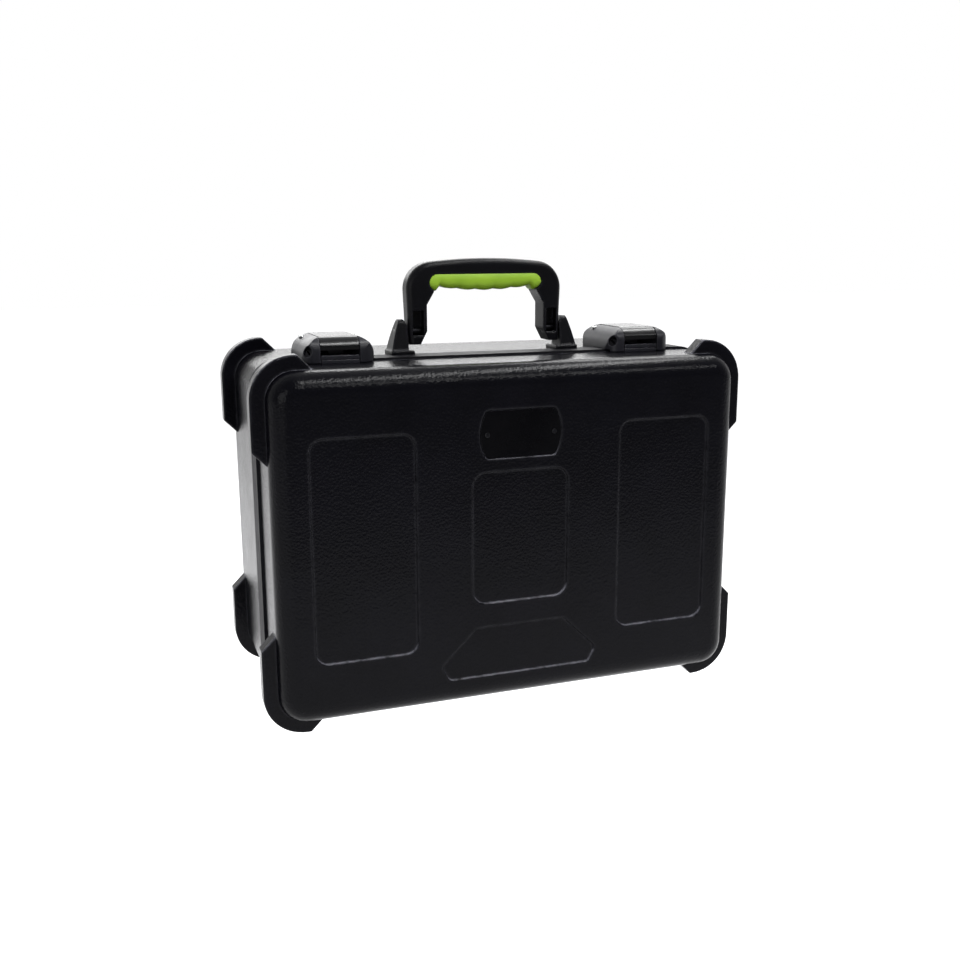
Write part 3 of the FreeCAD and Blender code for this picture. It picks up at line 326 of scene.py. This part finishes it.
# %% Finishes on the CAD pieces
slot_finish = {
    "case_plastic": polyethylene, "rim_metal": rim_coat, "liner_metal": bare_aluminium,
    "seal_rubber": seal_rubber, "plate_gloss": abs_gloss, "foam": open_foam,
    "handle_plastic": nylon_black, "grip_rubber": grip_rubber, "latch_plastic": nylon_grey,
    "lock_metal": lock_nickel, "steel": zinc_steel, "dark_steel": black_steel,
}
for name, piece in nodes.items():
    for spot in piece.material_slots:
        spot.material = slot_finish[spot.material.name.split(".")[0]]
for side in ("left", "right"):
    nodes["latch_lever_" + side].material_slots[0].material = nylon_lever
    nodes["handle_pin_" + side].material_slots[0].material = black_steel
nodes["nameplate_rivets"].material_slots[0].material = black_steel
print("dressed", len(nodes), "pieces")

# %% [markdown]
# ## The foam insert
# Inside the base sits one block of foam with fifteen pockets, cut by a press with sharp steel rules, and
# an open store beside them. Foam has no crisp corners: where the rule enters, the edge rolls over by a
# few millimetres. The block is built as a sheet of small squares with the pockets left out, pushed
# back to its full depth. Its outer corners are squeezed from a square to a round, and the edges round
# the pockets are then bevelled. A Subdivision Surface alone would round the pockets too much.

# %% Foam insert
foam_sides = [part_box("foam_side_left"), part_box("foam_store_wall"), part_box("foam_side_right")]
rail_low, rail_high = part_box("foam_rail_bottom"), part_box("foam_rail_top")
insert_front, insert_back = rail_low[0].y, rail_low[1].y
pocket_columns, pocket_rows = 5, 3
pocket_wall, strip_thick = 12 * MM, 15 * MM
insert_corner = 19.7 * MM
insert_square = 14 * MM
edge_roll = 2.5 * MM

field_x0, field_x1 = foam_sides[0][1].x, foam_sides[1][0].x
field_z0, field_z1 = rail_low[1].z, rail_high[0].z
pocket_width = (field_x1 - field_x0 - (pocket_columns - 1) * pocket_wall) / pocket_columns
pocket_height = (field_z1 - field_z0 - (pocket_rows - 1) * strip_thick) / pocket_rows
columns = [field_x0 + i * (pocket_width + pocket_wall) for i in range(pocket_columns)]
rows = [field_z0 + i * (pocket_height + strip_thick) for i in range(pocket_rows)]
holes = [(x, x + pocket_width, z, z + pocket_height) for x in columns for z in rows]
holes.append((foam_sides[1][1].x, foam_sides[2][0].x, field_z0, field_z1))
print("pocket", round(pocket_width / MM, 2), "x", round(pocket_height / MM, 2), "mm, holes:", len(holes))


def steps(cuts, longest):
    """Places along one axis: every cut, and enough between them that no step is longer than asked."""
    cuts = sorted(set(round(c, 7) for c in cuts))
    places = [cuts[0]]
    for a, b in zip(cuts, cuts[1:]):
        count = max(1, math.ceil((b - a) / longest))
        places += [a + (b - a) * i / count for i in range(1, count + 1)]
    return places


def squeeze_corner(x, z, box, radius):
    """Moves a point of a rectangle so that the rectangle's corners become round."""
    x0, x1, z0, z1 = box
    dx = max(x0 + radius - x, 0) - max(x - x1 + radius, 0)
    dz = max(z0 + radius - z, 0) - max(z - z1 + radius, 0)
    if dx == 0 or dz == 0:
        return x, z
    factor = max(abs(dx), abs(dz)) / math.hypot(dx, dz)
    return x + dx - dx * factor, z + dz - dz * factor


def new_piece(name, mesh_builder, material):
    """Object at the origin from a filled bmesh, shaded smooth."""
    mesh = bpy.data.meshes.new(name)
    mesh_builder.to_mesh(mesh)
    mesh_builder.free()
    mesh.materials.append(material)
    for face in mesh.polygons:
        face.use_smooth = True
    piece = bpy.data.objects.new(name, mesh)
    bpy.context.scene.collection.objects.link(piece)
    return piece


def applied(piece):
    """Bakes a piece's modifiers into its mesh."""
    graph = bpy.context.evaluated_depsgraph_get()
    mesh = bpy.data.meshes.new_from_object(piece.evaluated_get(graph))
    piece.modifiers.clear()
    piece.data = mesh
    return piece


def foam_body(name, box, holes, front, back, corner, roll, longest):
    """Foam sheet of small squares with holes, pushed back to its depth, with rolled front edges."""
    work = bmesh.new()
    x_cuts = [h[i] for h in holes for i in (0, 1)]
    z_cuts = [h[i] for h in holes for i in (2, 3)]
    xs = steps([box[0], box[1], box[0] + corner, box[1] - corner] + x_cuts, longest)
    zs = steps([box[2], box[3], box[2] + corner, box[3] - corner] + z_cuts, longest)
    points = {}
    for i, x in enumerate(xs):
        for j, z in enumerate(zs):
            sx, sz = squeeze_corner(x, z, box, corner)
            points[i, j] = work.verts.new((sx, front, sz))
    for i in range(len(xs) - 1):
        for j in range(len(zs) - 1):
            mx, mz = (xs[i] + xs[i + 1]) / 2, (zs[j] + zs[j + 1]) / 2
            if not any(h[0] < mx < h[1] and h[2] < mz < h[3] for h in holes):
                work.faces.new((points[i, j], points[i + 1, j], points[i + 1, j + 1], points[i, j + 1]))
    bmesh.ops.delete(work, geom=[v for v in work.verts if not v.link_faces], context="VERTS")
    pushed = bmesh.ops.extrude_face_region(work, geom=work.faces[:])
    moved = [v for v in pushed["geom"] if isinstance(v, bmesh.types.BMVert)]
    bmesh.ops.translate(work, verts=moved, vec=(0, back - front, 0))
    bmesh.ops.recalc_face_normals(work, faces=work.faces[:])
    rim = [e for e in work.edges if all(abs(v.co.y - front) < 1e-6 for v in e.verts)
           and len(e.link_faces) == 2 and abs(e.link_faces[0].normal.dot(e.link_faces[1].normal)) < 0.5]
    bmesh.ops.bevel(work, geom=rim, offset=roll, segments=3, profile=0.6, affect="EDGES")
    bmesh.ops.recalc_face_normals(work, faces=work.faces[:])
    piece = new_piece(name, work, open_foam)
    piece.modifiers.new("even_normals", "WEIGHTED_NORMAL")
    return applied(piece)


insert_box = (rail_low[0].x, rail_low[1].x, rail_low[0].z, rail_high[1].z)
mic_insert = foam_body("mic_foam_insert", insert_box, holes, insert_front, insert_back, insert_corner,
                       edge_roll, insert_square)
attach(mic_insert, "case_base")
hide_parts("foam_rail_top", "foam_rail_bottom", "foam_side_left", "foam_side_right",
            "foam_store_wall", "foam_strips", "foam_blocks")
print("insert:", len(mic_insert.data.polygons), "faces")

# %% [markdown]
# ## The foam floor
# A thinner sheet behind the insert closes the pockets, so that a microphone's tail lands on foam. It is
# made in the same way, without holes.

# %% Foam floor
floor_low, floor_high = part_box("foam_floor")
floor_corner, floor_roll = 2 * MM, 1 * MM
foam_floor = foam_body("foam_floor_sheet", (floor_low.x, floor_high.x, floor_low.z, floor_high.z), [],
                       floor_low.y, floor_high.y, floor_corner, floor_roll, insert_square)
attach(foam_floor, "case_base")
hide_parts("foam_floor")
print("floor sheet:", len(foam_floor.data.polygons), "faces")

# %% [markdown]
# ## The egg-crate foam in the lid
# The lid holds convoluted foam: rows of soft peaks that press on the microphones when the lid is shut.
# Such foam is made by squeezing a slab between two studded rollers while a blade splits it, so its
# surface is one smooth wave in both directions. That is a rule, and Geometry Nodes follow rules well:
# the tree below takes a flat slab and lowers every point of its soft face by the product of two sines.
# An attribute on the slab says how far each point may move: a quarter at the border, so the waves die
# down there.

# %% Slab for the lid foam
lid_low, lid_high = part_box("lid_foam")
lid_box = (lid_low.x, lid_high.x, lid_low.z, lid_high.z)
lid_corner = 19.7 * MM
lid_border = 14.0 * MM
still_band, still_share = 8 * MM, 0.25
lid_square = 4.2 * MM
foam_pitch = 30.0 * MM
foam_wave = 13.0 * MM


def lid_slab(name, box, soft_y, hard_y, corner, border, longest):
    """Closed slab: a fine soft face, and a hard face drawn in to follow the lid's rounded border."""
    work = bmesh.new()
    weight = work.verts.layers.float.new("free")
    xs = steps([box[0], box[1], box[0] + corner, box[1] - corner], longest)
    zs = steps([box[2], box[3], box[2] + corner, box[3] - corner], longest)
    last_x, last_z = len(xs) - 1, len(zs) - 1
    layers = []
    for soft in (True, False):
        points = {}
        for i, x in enumerate(xs):
            for j, z in enumerate(zs):
                sx, sz = squeeze_corner(x, z, box, corner)
                if soft:
                    y, inset = soft_y, 0.0
                else:
                    y, inset = hard_y, border
                middle_x, middle_z = (box[0] + box[1]) / 2, (box[2] + box[3]) / 2
                half_x, half_z = (box[1] - box[0]) / 2, (box[3] - box[2]) / 2
                vert = work.verts.new((middle_x + (sx - middle_x) * (half_x - inset) / half_x, y,
                                       middle_z + (sz - middle_z) * (half_z - inset) / half_z))
                near = min(x - box[0], box[1] - x, z - box[2], box[3] - z)
                freed = min(1.0, near / still_band) * (1 - still_share) + still_share
                vert[weight] = freed if soft else 0.0
                points[i, j] = vert
        layers.append(points)
    for points, flip in ((layers[0], False), (layers[1], True)):
        for i in range(last_x):
            for j in range(last_z):
                corners = [points[i, j], points[i + 1, j], points[i + 1, j + 1], points[i, j + 1]]
                work.faces.new(corners[::-1] if flip else corners)
    border_steps = [(i, 0) for i in range(last_x)] + [(last_x, j) for j in range(last_z)]
    border_steps += [(i, last_z) for i in range(last_x, 0, -1)] + [(0, j) for j in range(last_z, 0, -1)]
    turns = 5
    rings = [[layers[0][key] for key in border_steps]]
    for step in range(1, turns):
        angle = math.pi / 2 * step / turns
        ring = []
        for key in border_steps:
            a, b = layers[0][key].co, layers[1][key].co
            across = 1 - math.cos(angle)
            rise = (border if soft_y > hard_y else -border) * (1 - math.sin(angle))
            ring.append(work.verts.new((a.x + (b.x - a.x) * across, hard_y + rise,
                                        a.z + (b.z - a.z) * across)))
            ring[-1][weight] = 0.0
        rings.append(ring)
    rings.append([layers[1][key] for key in border_steps])
    for near_ring, far_ring in zip(rings, rings[1:]):
        for k in range(len(near_ring)):
            n = (k + 1) % len(near_ring)
            work.faces.new((near_ring[k], near_ring[n], far_ring[n], far_ring[k]))
    bmesh.ops.recalc_face_normals(work, faces=work.faces[:])
    return new_piece(name, work, open_foam)


lid_pad = lid_slab("lid_egg_crate_foam", lid_box, lid_high.y, lid_low.y, lid_corner, lid_border,
                   lid_square)
print("slab:", len(lid_pad.data.vertices), "points")

# %% [markdown]
# The tree comes next. Its inputs are the pitch from peak to peak, the depth of a wave, the middle of the
# slab, from which the waves are counted, and the foam to dress it with.

# %% Waves by Geometry Nodes
wave = bpy.data.node_groups.new("egg_crate_wave", "GeometryNodeTree")
wave.interface.new_socket("Geometry", in_out="INPUT", socket_type="NodeSocketGeometry")
pitch_socket = wave.interface.new_socket("Pitch", in_out="INPUT", socket_type="NodeSocketFloat")
depth_socket = wave.interface.new_socket("Wave depth", in_out="INPUT", socket_type="NodeSocketFloat")
centre_socket = wave.interface.new_socket("Centre", in_out="INPUT", socket_type="NodeSocketVector")
foam_socket = wave.interface.new_socket("Foam", in_out="INPUT", socket_type="NodeSocketMaterial")
wave.interface.new_socket("Geometry", in_out="OUTPUT", socket_type="NodeSocketGeometry")

given = add(wave, "NodeGroupInput")
where = add(wave, "GeometryNodeInputPosition")
from_centre = add(wave, "ShaderNodeVectorMath", {0: where.outputs[0], 1: given.outputs["Centre"]},
                  operation="SUBTRACT")
axes = add(wave, "ShaderNodeSeparateXYZ", {0: from_centre.outputs[0]})
turn_rate = add(wave, "ShaderNodeMath", {0: 2 * math.pi, 1: given.outputs["Pitch"]}, operation="DIVIDE")
sines = []
for axis in ("X", "Z"):
    angle = add(wave, "ShaderNodeMath", {0: axes.outputs[axis], 1: turn_rate.outputs[0]},
                operation="MULTIPLY")
    sines.append(add(wave, "ShaderNodeMath", {0: angle.outputs[0]}, operation="COSINE"))
product = add(wave, "ShaderNodeMath", {0: sines[0].outputs[0], 1: sines[1].outputs[0]},
              operation="MULTIPLY")
lowered = add(wave, "ShaderNodeMapRange", {"Value": product.outputs[0], "From Min": -1.0, "From Max": 1.0,
                                           "To Min": -1.0, "To Max": 0.0})
free = add(wave, "GeometryNodeInputNamedAttribute", {"Name": "free"}, data_type="FLOAT")
share = add(wave, "ShaderNodeMath", {0: lowered.outputs["Result"], 1: free.outputs["Attribute"]},
            operation="MULTIPLY")
drop = add(wave, "ShaderNodeMath", {0: share.outputs[0], 1: given.outputs["Wave depth"]},
           operation="MULTIPLY")
offset = add(wave, "ShaderNodeCombineXYZ", {"Y": drop.outputs[0]})
moved = add(wave, "GeometryNodeSetPosition", {"Geometry": given.outputs["Geometry"],
                                              "Offset": offset.outputs[0]})
plain = add(wave, "GeometryNodeRealizeInstances", {"Geometry": moved.outputs[0]})
dressed = add(wave, "GeometryNodeSetMaterial", {"Geometry": plain.outputs[0],
                                                "Material": given.outputs["Foam"]})
add(wave, "NodeGroupOutput", {0: dressed.outputs[0]})

waves = lid_pad.modifiers.new("waves", "NODES")
waves.node_group = wave
waves[pitch_socket.identifier] = foam_pitch
waves[depth_socket.identifier] = foam_wave
waves[centre_socket.identifier] = ((lid_low.x + lid_high.x) / 2, 0.0, (lid_low.z + lid_high.z) / 2)
waves[foam_socket.identifier] = open_foam
lid_pad = applied(lid_pad)
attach(lid_pad, "lid")
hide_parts("lid_foam")
print("lid foam:", len(lid_pad.data.polygons), "faces, deepest", round(foam_wave / MM, 1), "mm")

# %% [markdown]
# ## The seal in the lid
# A soft cord of EPDM rubber lies in a seat round the lid and meets the rim of the base. It follows one
# path all the way round, so a curve does it best: a rounded rectangle, and a small oval swept along it.
# Geometry Nodes have a node for each of these steps, and the named inputs keep its sizes in sight.

# %% Seal by Geometry Nodes
seal_low, seal_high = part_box("rim_gasket")
seal_width = 2.4 * MM
shell_corner, shell_wall = 24 * MM, 4 * MM
seal_path_corner = shell_corner - shell_wall - seal_width / 2

sweep = bpy.data.node_groups.new("seal_sweep", "GeometryNodeTree")
sweep_sockets = {}
for word in ("Width", "Height", "Corner", "Bead width", "Bead depth"):
    sweep_sockets[word] = sweep.interface.new_socket(word, in_out="INPUT", socket_type="NodeSocketFloat")
sweep_sockets["Place"] = sweep.interface.new_socket("Place", in_out="INPUT", socket_type="NodeSocketVector")
sweep_sockets["Rubber"] = sweep.interface.new_socket("Rubber", in_out="INPUT",
                                                     socket_type="NodeSocketMaterial")
sweep.interface.new_socket("Geometry", in_out="OUTPUT", socket_type="NodeSocketGeometry")

given = add(sweep, "NodeGroupInput")
outline = add(sweep, "GeometryNodeCurvePrimitiveQuadrilateral", {"Width": given.outputs["Width"],
                                                                 "Height": given.outputs["Height"]})
rounded = add(sweep, "GeometryNodeFilletCurve", {"Curve": outline.outputs[0], "Count": 10,
                                                 "Radius": given.outputs["Corner"]}, mode="POLY")
circle = add(sweep, "GeometryNodeCurvePrimitiveCircle", {"Resolution": 14, "Radius": 0.5})
bead_size = add(sweep, "ShaderNodeCombineXYZ", {"X": given.outputs["Bead width"],
                                                "Y": given.outputs["Bead depth"], "Z": 1.0})
bead = add(sweep, "GeometryNodeTransform", {"Geometry": circle.outputs[0], "Scale": bead_size.outputs[0]})
swept = add(sweep, "GeometryNodeCurveToMesh", {"Curve": rounded.outputs[0],
                                               "Profile Curve": bead.outputs[0]})
stood = add(sweep, "GeometryNodeTransform", {"Geometry": swept.outputs[0], "Rotation": (math.pi / 2, 0, 0),
                                             "Translation": given.outputs["Place"]})
smooth = add(sweep, "GeometryNodeSetShadeSmooth", {"Geometry": stood.outputs[0]})
plain = add(sweep, "GeometryNodeRealizeInstances", {"Geometry": smooth.outputs[0]})
dressed = add(sweep, "GeometryNodeSetMaterial", {"Geometry": plain.outputs[0],
                                                 "Material": given.outputs["Rubber"]})
add(sweep, "NodeGroupOutput", {0: dressed.outputs[0]})

seal = bpy.data.objects.new("lid_seal", bpy.data.meshes.new("lid_seal"))
bpy.context.scene.collection.objects.link(seal)
seal_sweep = seal.modifiers.new("sweep", "NODES")
seal_sweep.node_group = sweep
for word, value in (("Width", seal_high.x - seal_low.x - seal_width),
                    ("Height", seal_high.z - seal_low.z - seal_width),
                    ("Corner", seal_path_corner), ("Bead width", seal_width),
                    ("Bead depth", seal_high.y - seal_low.y), ("Rubber", seal_rubber),
                    ("Place", (0.0, (seal_low.y + seal_high.y) / 2, (seal_low.z + seal_high.z) / 2))):
    seal_sweep[sweep_sockets[word].identifier] = value
seal = applied(seal)
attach(seal, "lid")
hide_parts("rim_gasket")
print("seal:", len(seal.data.polygons), "faces")

# %% [markdown]
# ## The lime grip
# The grip is rubber moulded over a rib of the handle. Its ends are round and hook down where they meet
# the arms, and its underside has five finger bumps that sag a little towards the middle. It is a loft:
# a ring of points for each place along its length, whose top and bottom heights follow two short rules.
# That gives clean strips of quads, which a Subdivision Surface would only make heavier.

# %% Grip
grip_low, grip_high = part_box("handle_grip")
grip_half = grip_high.x
grip_mid_y = (grip_low.y + grip_high.y) / 2
grip_thick = grip_high.y - grip_low.y
grip_top = grip_high.z
grip_hook_z = grip_low.z
grip_round = (grip_top - grip_hook_z) / 2
hook_half = grip_half - 6.2 * MM
bump_half = grip_half - 10.6 * MM
arch_z = grip_hook_z + 4.5 * MM
sag = 3.1 * MM
bump_depth = 1.25 * MM
bump_count = 5
bump_fullness = 0.8
under_round = 6.5 * MM
end_step = 0.35 * MM


def grip_heights(x):
    """Top and bottom of the grip at one place along it."""
    far = abs(x)
    middle = (grip_top + grip_hook_z) / 2
    top = grip_top
    if far > grip_half - grip_round:
        top = middle + math.sqrt(max(0.0, grip_round ** 2 - (far - grip_half + grip_round) ** 2))
    if far > hook_half:
        out = (far - hook_half) / (grip_half - hook_half)
        low = middle - grip_round * math.sqrt(max(0.0, 1 - out ** 2))
    elif far > bump_half:
        share = (hook_half - far) / (hook_half - bump_half)
        low = grip_hook_z + (arch_z - grip_hook_z) * share * share * (3 - 2 * share)
    else:
        place = (far / bump_half * bump_count + 1) / 2
        bump = abs(math.sin(math.pi * place)) ** bump_fullness
        low = arch_z - sag * (1 - (far / bump_half) ** 2) - bump_depth * bump
    return top, low


def grip_ring(x):
    """Points round the grip at one place: a flat back under the bar and a rounded underside."""
    top, low = grip_heights(x)
    half = grip_thick / 2
    turn = min(under_round, max(top - low, 0.02 * MM) * 0.48)
    ring = []
    for side, first, last in ((1, 0, 8), (-1, 8, 0)):
        order = range(first, last + 1) if last > first else range(first, last - 1, -1)
        for k in order:
            angle = math.pi / 2 * k / 8
            ring.append((x, grip_mid_y + side * (half - turn + turn * math.cos(angle)),
                         low + turn - turn * math.sin(angle)))
    ease = min(0.8 * MM, max(top - low, 0.02 * MM) * 0.2)
    ring += [(x, grip_mid_y - half, top - ease), (x, grip_mid_y - half + ease, top),
             (x, grip_mid_y + half - ease, top), (x, grip_mid_y + half, top - ease)]
    return ring


work = bmesh.new()
near_end = [grip_half - end_step * k ** 2 / 4 for k in range(4, -1, -1)]
middle_run = [grip_half * s / 70 for s in range(-70, 71)]
middle_run = [x for x in middle_run if abs(x) < grip_half - 1.6 * MM]
stations = [-x for x in reversed(near_end)] + middle_run + near_end
rings = [[work.verts.new(p) for p in grip_ring(x)] for x in stations]
for a, b in zip(rings, rings[1:]):
    for k in range(len(a)):
        n = (k + 1) % len(a)
        work.faces.new((a[k], a[n], b[n], b[k]))
work.faces.new(rings[0][::-1])
work.faces.new(rings[-1])
bmesh.ops.remove_doubles(work, verts=work.verts[:], dist=0.01 * MM)
bmesh.ops.recalc_face_normals(work, faces=work.faces[:])
grip = new_piece("lime_grip", work, grip_rubber)
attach(grip, "handle")
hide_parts("handle_grip")
print("grip:", len(grip.data.polygons), "faces,", bump_count, "bumps")

# %% [markdown]
# ## Floor, backdrop and light
# A black case needs something bright to reflect, or its form is lost: its sides and top show only because
# they mirror a pale studio at a glancing angle. The floor is a wide white sheet. To a camera and in a
# reflection it is lifted to paper white, yet it keeps the soft shadow of the case. It hangs a third of a
# metre below the feet, because the lid swings down past them where the case isn't laid on its back
# first, and a sheet at the feet would hide it.
# The room in front is dim, as a room behind a photographer is: the sky fades towards the front, and so
# does the sheet. The flat face of the lid mirrors that room, and would turn milky if it were white. The
# sheet fades over just the stretch that this face mirrors, so the face grows a little lighter downwards.
# The camera itself sees white paper on every side. What the case mirrors fades, and so does the light
# that reaches it from the front.

# %% Floor
floor_half = 14.0
floor_drop = 0.33
fade_from, fade_to = -2.2, -1.73
dimmest = 0.2
paper_lift = 0.6

floor_mesh = bmesh.new()
bmesh.ops.create_grid(floor_mesh, x_segments=8, y_segments=8, size=floor_half,
                      matrix=Matrix.Translation((0, 0, -floor_drop)))
floor_paper = bpy.data.materials.new("paper_white_floor")
floor_paper.use_nodes = True
tree = floor_paper.node_tree
tree.nodes.clear()
where = add(tree, "ShaderNodeTexCoord")
along = add(tree, "ShaderNodeSeparateXYZ", {0: where.outputs["Object"]})
sheet = add(tree, "ShaderNodeMapRange", {"Value": along.outputs["Y"], "From Min": fade_from,
                                         "From Max": fade_to, "To Min": dimmest, "To Max": 1.0},
            interpolation_type="SMOOTHSTEP")
path = add(tree, "ShaderNodeLightPath")
seen = add(tree, "ShaderNodeMath", {0: path.outputs["Is Camera Ray"], 1: path.outputs["Is Glossy Ray"]},
           operation="MAXIMUM")
seen_too = add(tree, "ShaderNodeMath", {0: seen.outputs[0], 1: path.outputs["Is Transmission Ray"]},
               operation="MAXIMUM")
shown = add(tree, "ShaderNodeMath", {0: sheet.outputs["Result"], 1: path.outputs["Is Camera Ray"]},
            operation="MAXIMUM")
near = add(tree, "ShaderNodeMath", {0: seen_too.outputs[0], 1: shown.outputs[0]}, operation="MULTIPLY")
lift = add(tree, "ShaderNodeMath", {0: near.outputs[0], 1: paper_lift}, operation="MULTIPLY")
tint = add(tree, "ShaderNodeMix", {0: shown.outputs[0], 6: linear("6a6a6c"), 7: linear("e4e4e6")},
           data_type="RGBA")
paper = add(tree, "ShaderNodeBsdfDiffuse", {"Color": tint.outputs[2]})
glow = add(tree, "ShaderNodeEmission", {"Color": linear("ffffff"), "Strength": lift.outputs[0]})
both = add(tree, "ShaderNodeAddShader", {0: paper.outputs[0], 1: glow.outputs[0]})
add(tree, "ShaderNodeOutputMaterial", {"Surface": both.outputs[0]})
floor = new_piece("studio_floor", floor_mesh, floor_paper)
print("floor", 2 * floor_half, "m across,", floor_drop, "m below the feet")

# %% Sky
world = bpy.data.worlds.new("studio_sky")
bpy.context.scene.world = world
world.use_nodes = True
tree = world.node_tree
tree.nodes.clear()
aim = add(tree, "ShaderNodeTexCoord")
toward = add(tree, "ShaderNodeSeparateXYZ", {0: aim.outputs["Generated"]})
level = add(tree, "ShaderNodeMapRange", {"Value": toward.outputs["Y"], "From Min": -0.55, "From Max": 0.45,
                                         "To Min": dimmest, "To Max": 1.0},
            interpolation_type="SMOOTHSTEP")
path = add(tree, "ShaderNodeLightPath")
seen = add(tree, "ShaderNodeMath", {0: level.outputs["Result"], 1: path.outputs["Is Camera Ray"]},
           operation="MAXIMUM")
sky = add(tree, "ShaderNodeBackground", {"Color": linear("ffffff"), "Strength": seen.outputs[0]})
add(tree, "ShaderNodeOutputWorld", {"Surface": sky.outputs[0]})
print("sky: white behind the case,", dimmest, "in front of it")

# %% [markdown]
# ## Lamps
# On a black plastic only what it mirrors shows, so each lamp is there for the line of light that it
# draws. Long strips draw long lines: a narrow one overhead for the rounding along the top of the lid, a
# broader one behind it for the tops of the latches and to light the painted highlight tone on the upward
# lips, and a narrow one in front for the handle. A wide strip at the back lights the top of the case at a
# glancing angle, and a soft square at the left fills that side.

# %% Lamps
lamp_plan = (
    ("over_strip", (0.5, -0.4, 1.6), (0.0, -0.1, 0.3), 1.6, 0.12, 22.0),
    ("lip_strip", (0.6, 1.2, 1.6), (0.0, -0.1, 0.25), 2.0, 0.5, 24.0),
    ("front_strip", (0.6, -1.35, 1.35), (0.0, -0.1, 0.3), 1.2, 0.1, 7.0),
    ("back_strip", (0.7, 2.4, 1.0), (0.0, 0.0, 0.3), 3.0, 0.45, 14.0),
    ("left_fill", (-1.5, -1.7, 0.7), (0.0, 0.0, 0.2), 1.2, 1.2, 11.0),
)
for name, place, target, width, height, watts in lamp_plan:
    lamp_data = bpy.data.lights.new(name, "AREA")
    lamp_data.shape = "RECTANGLE"
    lamp_data.size = width
    lamp_data.size_y = height
    lamp_data.energy = watts
    lamp = bpy.data.objects.new(name, lamp_data)
    lamp.location = place
    lamp.rotation_euler = (Vector(target) - Vector(place)).to_track_quat("-Z", "Y").to_euler()
    bpy.context.scene.collection.objects.link(lamp)
    print(name, watts, "W")

# %% [markdown]
# ## Colour management
# The Standard view shows a colour as it is written, which suits a product picture on white.

# %% Finish
bpy.context.scene.view_settings.view_transform = "Standard"
